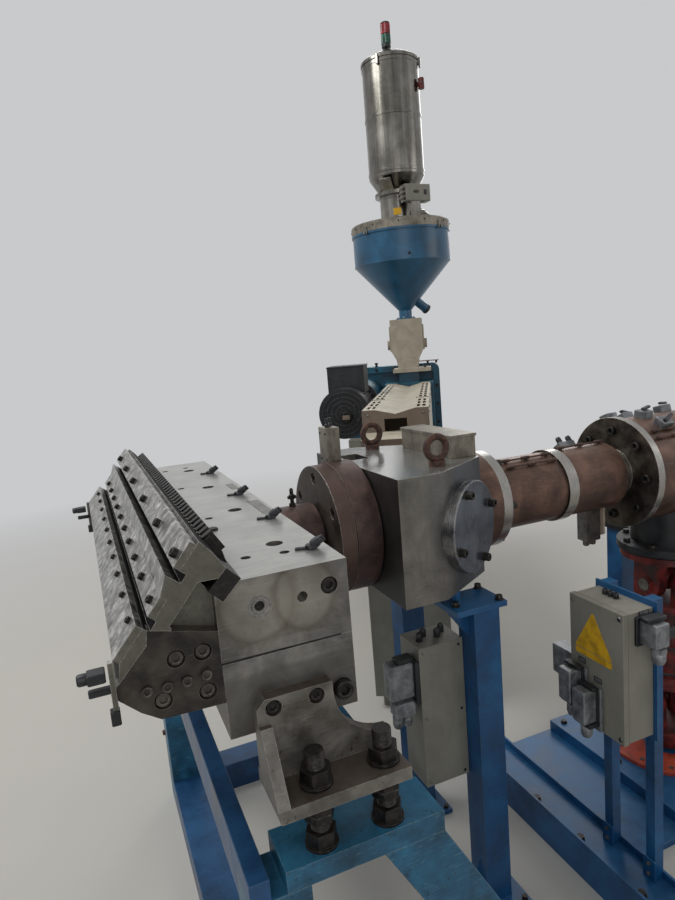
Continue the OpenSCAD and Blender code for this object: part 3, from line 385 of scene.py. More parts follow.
def surface(name, grids, finish, body="machine"):
    """One piece from placed grids: each quad joins two neighbouring rows and columns, the columns
    close on themselves, and doubled points are merged."""
    points, quads, base = [], [], 0
    for group in grids:
        copies, rows, columns = group.shape[:3]
        index = base + np.arange(copies * rows * columns).reshape(copies, rows, columns)
        beside = np.roll(index, -1, axis=2)
        quads.append(np.stack(
            [index[:, :-1], beside[:, :-1], beside[:, 1:], index[:, 1:]], axis=-1).reshape(-1, 4))
        points.append(group.reshape(-1, 3))
        base += copies * rows * columns
    metres = (np.concatenate(points) - [DRIVE_X, 0, 0]) / 1000
    mesh = bpy.data.meshes.new(name)
    mesh.from_pydata(metres.tolist(), [], np.concatenate(quads).tolist())
    joined = bmesh.new()
    joined.from_mesh(mesh)
    bmesh.ops.remove_doubles(joined, verts=joined.verts, dist=2e-6)
    bmesh.ops.recalc_face_normals(joined, faces=joined.faces)
    joined.to_mesh(mesh)
    joined.free()
    return piece(name, mesh, finish, body, 35)


def piece(name, mesh, finish, body, crease):
    """Puts a mesh in the scene with its finish, smooth except along edges sharper than crease in
    degrees."""
    mesh.polygons.foreach_set("use_smooth", [True] * len(mesh.polygons))
    mesh.set_sharp_from_angle(angle=math.radians(crease))
    mesh.materials.clear()
    mesh.materials.append(bpy.data.materials["finish_" + finish])
    made = bpy.data.objects.new(name, mesh)
    bpy.context.scene.collection.objects.link(made)
    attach(made, body)
    return made


def eased(node, finish, width):
    """Stands for a CAD node: the same solid with its triangles joined and its rims rounded."""
    mesh = frame["nodes"][node].data.copy()
    mesh.name = "eased_" + node
    joined = bmesh.new()
    joined.from_mesh(mesh)
    bmesh.ops.remove_doubles(joined, verts=joined.verts, dist=1e-5)
    bmesh.ops.dissolve_limit(
        joined, angle_limit=math.radians(0.4), verts=joined.verts, edges=joined.edges)
    joined.to_mesh(mesh)
    joined.free()
    if "custom_normal" in mesh.attributes:
        mesh.attributes.remove(mesh.attributes["custom_normal"])
    body = frame["nodes"][node]["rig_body"]
    made = piece("eased_" + node, mesh, finish, body, 32)
    rim = made.modifiers.new("Eased rims", "BEVEL")
    rim.width = width
    rim.segments = 2
    rim.limit_method = "ANGLE"
    rim.angle_limit = math.radians(32)
    rim.harden_normals = True
    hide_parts(node)
    return made


# Finishes

def add(tree, kind, inputs=(), out=0, **fields):
    """Adds a shader node, sets its fields, sets or links its inputs, which are given in order or by
    name or number, and hands back the output that is asked for."""
    made = tree.nodes.new("ShaderNode" + kind)
    for key, value in fields.items():
        setattr(made, key, value)
    for key, value in inputs.items() if isinstance(inputs, dict) else enumerate(inputs):
        if isinstance(value, bpy.types.NodeSocket):
            tree.links.new(value, made.inputs[key])
        else:
            made.inputs[key].default_value = value
    return made.outputs[out]


# A Mix node takes its share at 0, values at 2 and 3 and colours at 6 and 7, and hands back a value
# at 0 and a colour at 2. These are the settings for mixing colours and for multiplying them
COLOURS = {"data_type": "RGBA"}
DARKENED = {"data_type": "RGBA", "blend_type": "MULTIPLY"}

# Nearly all of a noise lies between these two
NOISE_LOW, NOISE_HIGH = 0.3, 0.7

# How far out of the lip's slope the bars' own faces lie, in metres from the origin
LIP_FACE = (DRIVE_X * math.sin(SLOPE) + LIP_FOOT_Z * math.cos(SLOPE)) / 1000

# The ways that the feedblock's two port faces look
PORT_OUT = (math.sin(PORT_ANGLE), -math.cos(PORT_ANGLE), 0)
FAR_PORT_OUT = (math.sin(PORT_ANGLE), math.cos(PORT_ANGLE), 0)

# What each finish holds:
# main = the colour property; shade = the darkest and lightest colour beside it
# metallic is left out on paint and plastic, which have none
# mottle = size of the clouds in mm; rough = roughness in the dark and the light of them
# streak = size of the streaks along X, Y and Z in mm; depth = how far they lighten and darken
# grain = size of the pits in mm; real ones are about 0.1 to 0.5 mm, too fine to show in the render,
# so these are drawn several times as coarse, and so are the scratches, which are 0.1 mm wide
# speck = colour and share of the larger spots; bump = how deep pits and spots look
# edge = colour and width in mm of the rubbed rims; scratch = length and width in mm, colour, share
# stains = X, Z and reach in metres
# top = colour, share and roughness of what faces up; where that colour is lighter it is painted
# light from above
# zones = what is compared (the normal, its size without sign, or the place in metres), along which
# way, from, to, colour, share and roughness
FINISHES = {
    # Milled tool steel under old oil: cloudy grey with dark specks, bright rubbed rims and a painted
    # highlight on what faces up
    "machined_steel": dict(
        main="steel", shade=("#55524e", "#95938e"), metallic=0.75, rough=(0.30, 0.50), mottle=60,
        streak=(4, 50, 4), speck=("#2c2622", 0.34), edge=("#c2bfb6", 1.6), grain=1.2, bump=0.12,
        top=("#a3a19a", 0.55, 0.28),
        scratch=(60, 1.6, "#c9c6be", 0.45)),
    # The die's own steel: satin ends with pale rings where the screws were warmed, darker towards
    # the bottom, and an oily top with dark specks, painted bright as lit from above
    "die_end_steel": dict(
        main="steel", shade=("#56534e", "#96938b"), metallic=0.65, rough=(0.34, 0.52), mottle=95,
        streak=(60, 5, 8), depth=0.12, speck=("#3a322a", 0.22),
        edge=("#c6c2b8", 1.5), grain=1.2, bump=0.08,
        top=("#c6c5bf", 0.82, 0.26),
        zones=[("place", UP, 1.076, 1.066, "#55524c", 0.55, 0.50),
               ("place", UP, 1.040, 0.965, "#403b35", 0.45, 0.55)],
        stains=[(-1.602, 1.181, 0.078), (-1.527, 1.180, 0.070)],
        scratch=(90, 1.4, "#b9b5aa", 0.25)),
    # Lip bars: ground bright, scratched all over and smeared with carbon; black in the grooves:
    # carbon, with painted shade that deepens with their depth
    "lip_steel": dict(
        main="lip", shade=("#4f4c48", "#d0cec9"), metallic=0.85, rough=(0.26, 0.46), mottle=20,
        streak=(9, 26, 9), speck=("#1a1716", 0.36), edge=("#dddbd6", 1.6), grain=0.9, bump=0.20,
        # The two deepest bands: painted shade in the grooves, over carbon
        zones=[("place", SLOPE_OUT, LIP_FACE - 0.0095, LIP_FACE - 0.0125, "#1c1a19", 0.80, 0.55),
               ("place", SLOPE_OUT, LIP_FACE - 0.0135, LIP_FACE - 0.0170, "#070606", 0.97, 0.70),
               ("sides", FAR, 0.60, 0.80, "#67655c", 0.94, 0.50)],
        scratch=(30, 1.5, "#dfded9", 0.42)),
    # Steel browned by heat and polymer smoke, matt where the smoke has settled; what faces up is
    # painted lighter as lit from above
    "stained_steel": dict(
        main="stained", shade=("#221f1c", "#4d463e"), metallic=0.45, rough=(0.38, 0.60), mottle=50,
        streak=(20, 20, 8), depth=0.12, speck=("#6b4434", 0.24),
        edge=("#8d8678", 1.4), grain=1.4, bump=0.18,
        top=("#7d776a", 0.45, 0.50),
        zones=[("facing", FRONT, 0.55, 0.80, "#8d8a83", 0.55, 0.36)],
        scratch=(40, 1.5, "#8d877b", 0.14)),
    # Bracket steel: hand-scraped, pale on its flanks and brown with rusty oil on its foot
    "bracket_steel": dict(
        main="bracket", shade=("#57534d", "#8a867e"), metallic=0.5, rough=(0.38, 0.60), mottle=65,
        speck=("#4a362b", 0.36), edge=("#b9b5aa", 1.8), grain=2.2, bump=0.24,
        top=("#584c42", 0.80, 0.58),
        scratch=(46, 2.2, "#b5b1a6", 0.24)),
    # Sunk screws whose black has gone, brown with oil and thinly bright round their rims
    "oiled_steel": dict(
        main="oiled", shade=("#33302c", "#5b564f"), metallic=0.55, rough=(0.34, 0.52), mottle=20,
        speck=("#241f1b", 0.30), edge=("#a39d92", 0.7), grain=1.2, bump=0.10),
    # Black oxide on screws and the comb, rubbed to bare metal at the rims; what faces up is painted
    # lighter as lit from above
    "dark_steel": dict(
        main="dark", shade=("#100f0f", "#342f2b"), metallic=0.45, rough=(0.32, 0.55), mottle=16,
        speck=("#5f4231", 0.26), edge=("#746d62", 0.8), grain=1.2, bump=0.14,
        zones=[("facing", UP, 0.88, 0.97, "#3f3a34", 0.40, 0.50)]),
    # Band sheet: brown oxide clouds and rubbed lines round the pipe; its upper side is painted
    # lighter as lit from above
    "heater_metal": dict(
        main="heater", shade=("#46352e", "#775a4c"), metallic=0.45, rough=(0.34, 0.52), mottle=85,
        streak=(60, 9, 9), depth=0.14, speck=("#2a201d", 0.22),
        edge=("#93796a", 1.2), grain=1.8, bump=0.14,
        zones=[("facing", UP, 0.55, 0.98, "#866a5b", 0.50, 0.40)],
        scratch=(30, 1.6, "#a58b7c", 0.35)),
    # The adapter's heater: the same sheet, darker and more purple; its upper side is painted
    # lighter as lit from above
    "adapter_sheet": dict(
        main="adapter", shade=("#392d2a", "#665049"), metallic=0.40, rough=(0.36, 0.54), mottle=80,
        streak=(10, 60, 60), depth=0.12, speck=("#8a6f62", 0.18),
        edge=("#a3968b", 1.5), grain=1.8, bump=0.12,
        zones=[("facing", UP, 0.55, 0.98, "#6e5850", 0.45, 0.42)],
        scratch=(40, 1.4, "#9a8478", 0.25)),
    # Turned flanges: brown smoked faces and rims polished by handling
    "flange_steel": dict(
        main="flange", shade=("#342f2b", "#6d655c"), metallic=0.85, rough=(0.32, 0.50), mottle=60,
        streak=(4, 30, 30), speck=("#221e1b", 0.30), edge=("#d0ccc3", 2.4), grain=1.2, bump=0.10,
        zones=[("sides", BACK, 0.60, 0.30, "#a8a59f", 0.88, 0.24)],
        scratch=(50, 1.4, "#b0aba1", 0.35)),
    # The adapter's flange: smoked brown all round, with one bright turned rim
    "smoked_flange": dict(
        main="flange", shade=("#38302b", "#665a50"), metallic=0.55, rough=(0.34, 0.52), mottle=60,
        streak=(4, 30, 30), depth=0.12, speck=("#221e1b", 0.26), edge=("#d6d1c8", 3.0), grain=1.2,
        bump=0.10, zones=[("sides", BACK, 0.60, 0.30, "#5d4a43", 0.90, 0.44)],
        scratch=(50, 1.4, "#9a8e84", 0.25)),
    # The feedblock: satin grey flank, scratched mirror top, black front and blued port faces
    "block_steel": dict(
        main="block", shade=("#5e5b56", "#85817a"), metallic=0.65, rough=(0.34, 0.50), mottle=110,
        streak=(12, 12, 120), depth=0.09, speck=("#4b3a32", 0.22),
        edge=("#a89a8c", 2.2), grain=1.2, bump=0.06,
        zones=[("facing", UP, 0.80, 0.95, "#a6a6a2", 0.85, 0.16),
               ("facing", FRONT, 0.85, 0.96, "#2b2a2a", 0.88, 0.42),
               ("facing", PORT_OUT, 0.93, 0.985, "#48505b", 0.72, 0.34),
               ("facing", FAR_PORT_OUT, 0.93, 0.985, "#48505b", 0.72, 0.34)],
        scratch=(70, 1.8, "#b5b1a9", 0.20)),
    # Turned plugs: fine rings, straw and violet heat tints
    "turned_steel": dict(
        main="turned", shade=("#5d5c62", "#a09e9a"), metallic=0.85, rough=(0.24, 0.40), mottle=55,
        streak=(3, 3, 30), speck=("#4a3f3f", 0.18), edge=("#d5d2cb", 2.0), grain=1.2, bump=0.06,
        zones=[("facing", PORT_OUT, 0.93, 0.985, "#626d7c", 0.72, 0.26)],
        scratch=(50, 1.4, "#d9d7d2", 0.40)),
    # Brushed stainless sheet: fine upright streaks and soft upright bands, lighter and darker,
    # painted as reflections of the room
    "stainless": dict(
        main="stainless", shade=("#6c6962", "#8f8c85"), metallic=1.0, rough=(0.14, 0.30), mottle=150,
        streak=(46, 46, 1500), depth=0.42, speck=("#5b5348", 0.14),
        edge=("#d0cec8", 1.0), grain=1.0, bump=0.05,
        scratch=(60, 1.4, "#d8d6d0", 0.25)),
    # Galvanised and hot-stained sheet: dull brown-grey with pale rubbed corners; what faces up is
    # painted lighter as lit from above
    "dull_sheet": dict(
        main="dull", shade=("#5f5a50", "#918a7c"), metallic=0.55, rough=(0.34, 0.52), mottle=55,
        streak=(6, 6, 40), speck=("#4c4034", 0.26), edge=("#b3ada0", 1.5), grain=1.4, bump=0.10,
        top=("#9b9483", 0.60, 0.36),
        scratch=(36, 1.5, "#b8b2a4", 0.30)),
    # Gloss enamel on frames: even colour, ledges lighter with dust and painted light from above,
    # chips to primer at the rims
    "blue_paint": dict(
        main="blue", shade=("#0b3a60", "#195f90"), rough=(0.32, 0.50), mottle=160,
        streak=(40, 40, 160), depth=0.08, speck=("#0c2a4a", 0.26),
        edge=("#6d8799", 1.4), grain=2.5, bump=0.06,
        top=("#2f6b97", 0.50, 0.46),
        scratch=(50, 1.8, "#5d86ab", 0.22)),
    # The rails under the die: the same enamel, darker, with painted shade under the die and with
    # oil and carbon that drip on it; what faces up is painted lighter as lit from above
    "oily_paint": dict(
        main="rail", shade=("#0b2640", "#1b5180"), rough=(0.26, 0.48), mottle=130,
        streak=(40, 40, 160), depth=0.10, speck=("#0a1a2c", 0.32), edge=("#5f7a8f", 1.4), grain=2.5,
        bump=0.06, top=("#27557e", 0.50, 0.40),
        scratch=(50, 1.8, "#4d7396", 0.22)),
    # The die stand's enamel: oily, scraped and worn pale along its rims; its top faces are painted
    # lighter as lit from above
    "teal_paint": dict(
        main="teal", shade=("#123f55", "#2b7395"), rough=(0.28, 0.52), mottle=95,
        streak=(40, 40, 120), depth=0.10, speck=("#122a38", 0.34),
        edge=("#8fa6aa", 2.0), grain=2.5, bump=0.07,
        top=("#3f86aa", 0.60, 0.36),
        scratch=(34, 2.4, "#7fa4b2", 0.35)),
    # Clean gloss enamel on spun sheet
    "hopper_paint": dict(
        main="hopper", shade=("#17435e", "#276588"), rough=(0.26, 0.38), mottle=220,
        speck=("#1a3c5c", 0.10), edge=("#5f8aa8", 0.8), grain=2.5, bump=0.03),
    # Dark petrol enamel on the side gearbox, dull with dust; what faces up is painted lighter as lit
    # from above
    "gearbox_paint": dict(
        main="petrol", shade=("#0b3242", "#1a6079"), rough=(0.32, 0.50), mottle=120,
        speck=("#0a2430", 0.22), edge=("#5f8896", 1.4), grain=2.5, bump=0.06,
        top=("#3b7387", 0.50, 0.46)),
    # Powder coat with orange-peel grain, greyed by dust and drips; what faces up is painted lighter
    # as lit from above
    "grey_paint": dict(
        main="grey", shade=("#7a786e", "#8a887e"), rough=(0.40, 0.56), mottle=140,
        streak=(30, 30, 200), depth=0.06, speck=("#4e4b43", 0.20),
        edge=("#b0ada1", 1.2), grain=1.8, bump=0.07,
        top=("#a19d90", 0.55, 0.60),
        scratch=(40, 1.6, "#aeaba0", 0.18)),
    # Cream enamel browned by heat at the end next to the block; what faces up is painted lighter as
    # lit from above
    "cream_paint": dict(
        main="cream", shade=("#b0a896", "#c7c0af"), rough=(0.40, 0.60), mottle=90,
        streak=(14, 14, 60), depth=0.08, speck=("#6d5a45", 0.24),
        edge=("#86725c", 1.2), grain=2.0, bump=0.08,
        top=("#cfc6b0", 0.50, 0.50),
        zones=[("facing", TO_BLOCK, 0.70, 0.92, "#5f4a3c", 0.80, 0.55)],
        scratch=(40, 1.6, "#8f7f6a", 0.25)),
    # Beige enamel on rough sand-cast iron, dusty with granule fines; what faces up is painted lighter
    # as lit from above
    "casting_paint": dict(
        main="casting", shade=("#9d9482", "#b5ac9a"), rough=(0.44, 0.62), mottle=70,
        speck=("#6d6151", 0.20), edge=("#80735f", 1.4), grain=2.4, bump=0.25,
        top=("#c2bbaa", 0.50, 0.55)),
    # Dark red enamel, dull with oil and dust; what faces up is painted lighter as lit from above
    "red_paint": dict(
        main="red", shade=("#2c0d0d", "#7b2620"), rough=(0.34, 0.58), mottle=45,
        speck=("#1d0f0f", 0.34), edge=("#8d5d54", 1.2), grain=2.0, bump=0.10,
        top=("#6d3833", 0.55, 0.60),
        scratch=(30, 1.6, "#8f5048", 0.22)),
    # Matt red-orange enamel with grey handling marks
    "orange_paint": dict(
        main="orange", shade=("#86301f", "#bf5039"), rough=(0.42, 0.60), mottle=60,
        speck=("#4c2b24", 0.30), edge=("#c98d79", 1.2), grain=2.0, bump=0.06,
        scratch=(40, 1.8, "#c98a76", 0.30)),
    # Black enamel and moulded black plastic, greyed on top by dust and by painted light from above
    "black_paint": dict(
        main="black", shade=("#0d0e10", "#2a2c2f"), rough=(0.36, 0.56), mottle=60,
        speck=("#3d3833", 0.16), edge=("#55565a", 0.9), grain=1.8, bump=0.08,
        top=("#3b3b3c", 0.55, 0.56)),
    # Forged eye bolts: red-brown rust with darker pits; what faces up is painted lighter as lit from
    # above
    "rusty_steel": dict(
        main="rusty", shade=("#2a1d19", "#6b4a3c"), metallic=0.25, rough=(0.55, 0.78), mottle=12,
        speck=("#84563a", 0.36), edge=("#8d7466", 1.4), grain=1.4, bump=0.35,
        top=("#6f5a4e", 0.45, 0.60)),
    # Sand-cast alloy hoods: pale satin grain, dull in the corners; what faces up is painted lighter
    # as lit from above
    "alloy_hood": dict(
        main="alloy", shade=("#5b5e61", "#95989a"), metallic=0.6, rough=(0.36, 0.54), mottle=26,
        speck=("#454441", 0.26), edge=("#b9bbbb", 1.2), grain=1.4, bump=0.16,
        top=("#a3a5a5", 0.50, 0.42)),
    # Tinted acrylic lens, glossy with moulded ribs
    "lamp_lens": dict(
        main="lens", shade=("#5c1017", "#a82a32"), rough=(0.12, 0.22), mottle=40,
        speck=("#4d0f15", 0.05), grain=3.0, bump=0.02),
    "green_lens": dict(
        main="green_lens", shade=("#0f3427", "#246a53"), rough=(0.12, 0.22), mottle=40,
        speck=("#0e3024", 0.05), grain=3.0, bump=0.02),
    # Plain yellow film, slightly soiled
    "sign_film": dict(
        main="sign", shade=("#b08700", "#e0b014"), rough=(0.38, 0.52), mottle=30,
        speck=("#7d5f0e", 0.20), grain=2.0, bump=0.03),
}


def streaked(tree, look, at, colour):
    """The colour, lighter and darker along a noise drawn out to the streaks' size, and the mean of
    that noise and the clouds."""
    drawn_out = add(tree, "Mapping", {
        "Vector": at["place"], "Scale": [1000 / size for size in look["streak"]]})
    lines = add(tree, "TexNoise", {
        "Vector": drawn_out, "Scale": 1.0, "Detail": 4.0, "Roughness": 0.7})
    depth = look.get("depth", 0.25)
    shade = add(tree, "MapRange", (lines, 0.34, 0.68, 1 - depth, 1 + 0.8 * depth))
    colour = add(tree, "Mix", {0: 1.0, 6: colour, 7: shade}, 2, **DARKENED)
    return colour, add(tree, "Mix", {0: 0.5, 2: at["clouds"], 3: lines})


def scratched(tree, look, at, colour):
    """Long thin marks in two slants, kept to the patches of a wider noise."""
    long, thin, tint, share = look["scratch"]
    patches = add(tree, "TexNoise", {"Vector": at["place"], "Scale": 2000 / long, "Detail": 2.0})
    patches = add(tree, "MapRange", (patches, 0.42, 0.62, 0.0, 1.0))
    for slant in (0.5, -0.9):
        slanted = add(tree, "Mapping", {
            "Vector": at["place"], "Rotation": (slant, slant, slant),
            "Scale": (1000 / long, 1000 / thin, 1000 / thin)})
        marks = add(tree, "TexNoise", {
            "Vector": slanted, "Scale": 1.0, "Detail": 2.0, "Roughness": 0.5})
        marks = add(tree, "MapRange", (marks, 0.62, 0.70, 0.0, share))
        reach = add(tree, "Math", (marks, patches), operation="MULTIPLY")
        colour = add(tree, "Mix", {0: reach, 6: colour, 7: linear(tint)}, 2, **COLOURS)
    return colour


def zoned(tree, look, zone, at, colour, rough):
    """Another tint and roughness over what faces or lies one way: the share grows from nought to
    its whole while the normal or the place runs from low to high along that way."""
    source, way, low, high, tint, share, zone_rough = zone
    value = add(tree, "VectorMath", (at[source], way), "Value", operation="DOT_PRODUCT")
    if source == "sides":
        value = add(tree, "Math", (value,), operation="ABSOLUTE")
    reach = add(tree, "MapRange", (value, low, high, 0.0, share))
    if share < 0.8:
        uneven = add(tree, "MapRange", (at["level"], 0.32, 0.55, 0.45, 1.0))
        reach = add(tree, "Math", (reach, uneven), operation="MULTIPLY")
    shade = add(tree, "MapRange", (at["level"], NOISE_LOW, NOISE_HIGH, 0.75, 1.25))
    tone = add(tree, "Mix", {0: 1.0, 6: linear(tint), 7: shade}, 2, **DARKENED)
    specks = add(tree, "Math", (at["specks"], 0.6), operation="MULTIPLY")
    tone = add(tree, "Mix", {0: specks, 6: tone, 7: linear(look["speck"][0])}, 2, **COLOURS)
    colour = add(tree, "Mix", {0: reach, 6: colour, 7: tone}, 2, **COLOURS)
    return colour, add(tree, "Mix", {0: reach, 2: rough, 3: zone_rough})


def ringed(tree, stain, at, colour):
    """A pale disc with a darker rim round an X and Z on the ends, ragged by the clouds."""
    x, z, reach = stain
    flat = add(tree, "VectorMath", (at["place"], (1, 0, 1)), operation="MULTIPLY")
    away = add(tree, "VectorMath", (flat, (x, 0, z)), "Value", operation="DISTANCE")
    waver = add(tree, "MapRange", (at["clouds"], NOISE_LOW, NOISE_HIGH, -0.008, 0.008))
    ragged = add(tree, "Math", (away, waver), operation="ADD")
    share = add(tree, "MapRange", (ragged, 0, reach, 0, 1))
    ring = add(tree, "ValToRGB", (share,))
    marks = ring.node.color_ramp.elements
    pale, rim = linear("#9a9588")[:3], linear("#5c5042")[:3]
    marks[0].position, marks[0].color = 0.0, (*pale, 0.45)
    marks[1].position, marks[1].color = 1.0, (*rim, 0.0)
    marks.new(0.66).color = (*linear("#928d80")[:3], 0.35)
    marks.new(0.78).color = (*rim, 0.50)
    sideways = add(tree, "VectorMath", (at["facing"], NEAR), "Value", operation="DOT_PRODUCT")
    sideways = add(tree, "Math", (sideways,), operation="ABSOLUTE")
    on_end = add(tree, "MapRange", (sideways, 0.8, 0.95, 0.0, 1.0))
    cover = add(tree, "Math", (ring.node.outputs["Alpha"], on_end), operation="MULTIPLY")
    return add(tree, "Mix", {0: cover, 6: colour, 7: ring}, 2, **COLOURS)


def rubbed(tree, look, at, colour):
    """The rim's colour, in patches, where the normal rounded off over the rim's width leaves the
    flat one."""
    tint, width = look["edge"]
    rounded_off = add(tree, "Bevel", {"Radius": width / 1000}, "Normal", samples=4)
    flat = add(tree, "NewGeometry", out="True Normal")
    match = add(tree, "VectorMath", (rounded_off, flat), "Value", operation="DOT_PRODUCT")
    rim = add(tree, "MapRange", (match, 0.90, 0.985, 0.9, 0.0))
    patchy = add(tree, "MapRange", (at["spots"], 0.40, 0.60, 0.15, 1.0))
    worn = add(tree, "Math", (rim, patchy), operation="MULTIPLY")
    return add(tree, "Mix", {0: worn, 6: colour, 7: linear(tint)}, 2, **COLOURS)


def make_finish(name, look, main):
    """Clouds of noise mix three colours; streaks, specks, scratches, zones, ringed stains and
    rubbed rims go over them in turn, and the roughness follows the clouds and the zones."""
    material = bpy.data.materials.new("finish_" + name)
    material.use_nodes = True
    tree = material.node_tree
    place = add(tree, "TexCoord", out="Object")
    facing = place.node.outputs["Normal"]
    clouds = add(tree, "TexNoise", {
        "Vector": place, "Scale": 1000 / look["mottle"], "Detail": 6.0, "Roughness": 0.6,
        "Distortion": 0.4})
    at = {"place": place, "facing": facing, "sides": facing, "clouds": clouds, "level": clouds}
    colour = add(tree, "ValToRGB", (clouds,))
    stops = colour.node.color_ramp.elements
    stops[0].position, stops[0].color = 0.34, linear(look["shade"][0])
    stops[1].position, stops[1].color = 0.66, linear(look["shade"][1])
    stops.new(0.5).color = main
    if "streak" in look:
        colour, at["level"] = streaked(tree, look, at, colour)
    at["spots"] = add(tree, "TexNoise", {
        "Vector": place, "Scale": 1000 / (6 * look["grain"]), "Detail": 5.0, "Roughness": 0.75})
    tint, share = look["speck"]
    start = 0.74 - 0.4 * share
    at["specks"] = add(tree, "MapRange", (at["spots"], start, start + 0.06, 0.0, 0.75))
    colour = add(tree, "Mix", {0: at["specks"], 6: colour, 7: linear(tint)}, 2, **COLOURS)
    rough = add(tree, "MapRange", (at["level"], NOISE_LOW, NOISE_HIGH, *look["rough"]))
    if "scratch" in look:
        colour = scratched(tree, look, at, colour)
    # What faces up takes the top colour; a lighter top is painted light from above
    top = [("facing", UP, 0.75, 0.95, *look["top"])] if "top" in look else []
    for zone in top + look.get("zones", []):
        colour, rough = zoned(tree, look, zone, at, colour, rough)
    for stain in look.get("stains", []):
        colour = ringed(tree, stain, at, colour)
    if "edge" in look:
        colour = rubbed(tree, look, at, colour)
    grain = add(tree, "TexNoise", {
        "Vector": place, "Scale": 1000 / look["grain"], "Detail": 3.0, "Roughness": 0.6})
    relief = add(tree, "Mix", {0: 0.4, 2: grain, 3: at["spots"]})
    bump = add(tree, "Bump", {"Strength": look["bump"], "Distance": 0.0006, "Height": relief})
    shader = tree.nodes["Principled BSDF"]
    shader.inputs["Metallic"].default_value = look.get("metallic", 0.0)
    tree.links.new(colour, shader.inputs["Base Color"])
    tree.links.new(rough, shader.inputs["Roughness"])
    tree.links.new(bump, shader.inputs["Normal"])


def seen_plainly(tree):
    """One for rays from the camera and for those that metal or glass sends on, else nought."""
    path = add(tree, "LightPath", out="Is Camera Ray").node.outputs
    seen = add(tree, "Math", (path["Is Camera Ray"], path["Is Glossy Ray"]), operation="MAXIMUM")
    return add(tree, "Math", (seen, path["Is Transmission Ray"]), operation="MAXIMUM")


# Which finish each CAD node takes and how far its rims are rounded, in millimetres
DRESS = {
    "die_upper_body": ("die_end_steel", 1.5), "die_lower_body": ("die_end_steel", 1.5),
    "upper_lip_body": ("lip_steel", 0.8), "lip_bolt_bars": ("lip_steel", 0.8),
    "lower_lip_body": ("stained_steel", 1.0), "die_end_plates": ("stained_steel", 1.0),
    "restrictor_bar": ("dark_steel", 0.5), "die_brackets": ("bracket_steel", 1.5),
    "bracket_studs": ("dark_steel", 1.2), "stand_heads": ("teal_paint", 2.0),
    "stand_legs": ("teal_paint", 2.0), "stand_rails": ("oily_paint", 2.0),
    "melt_neck": ("adapter_sheet", 1.0), "adapter_flange": ("smoked_flange", 1.2),
    "adapter_heater": ("adapter_sheet", 1.2), "terminal_boxes": ("dull_sheet", 1.2),
    "feedblock": ("block_steel", 1.5),
    "lifting_eyes": ("rusty_steel", 1.0), "inlet_pipe": ("flange_steel", 1.5),
    "pipe_heaters": ("heater_metal", 0.8), "pump_body": ("heater_metal", 1.2),
    "drive_adapter": ("black_paint", 1.5), "drive_shaft": ("red_paint", 2.0),
    "drive_base": ("blue_paint", 2.0), "drive_ring": ("orange_paint", 1.5),
    "pump_columns": ("blue_paint", 2.0), "base_frame": ("blue_paint", 2.0),
    "junction_box": ("grey_paint", 3.0), "junction_posts": ("blue_paint", 1.2),
    "plug_hoods": ("alloy_hood", 4.0), "block_columns": ("blue_paint", 2.0),
    "heater_cabinet": ("grey_paint", 0.8), "side_barrel": ("heater_metal", 1.0),
    "barrel_cover": ("cream_paint", 0.8), "side_gearbox": ("gearbox_paint", 2.5),
    "side_motor": ("black_paint", 1.0), "side_stand": ("grey_paint", 2.0),
    "feed_casting": ("casting_paint", 2.0), "hopper_shell": ("hopper_paint", 0.8),
    "hopper_lid": ("dull_sheet", 1.0), "loader_base": ("stainless", 1.5),
    "loader_vessel": ("stainless", 1.0), "loader_dome": ("stainless", 1.0),
}


class ExtruderStep(bpy.types.Operator):
    """Shared start of every step: sizes in millimetres."""

    bl_options = {"REGISTER", "UNDO"}

    def mm(self, name):
        """A size property in millimetres."""
        return getattr(bpy.context.scene.extruder_sizes, name) * 1000


class EXTRUDER_OT_finishes(ExtruderStep):
    """Makes the finishes and dresses every CAD node with its own"""

    bl_idname = "extruder.finishes"
    bl_label = "Finishes and eased edges"

    def execute(self, context):
        colours = context.scene.extruder_finish
        for name, look in FINISHES.items():
            make_finish(name, look, tuple(getattr(colours, look["main"])))
        for node, (finish, width) in DRESS.items():
            eased(node, finish, width / 1000)
        return {"FINISHED"}


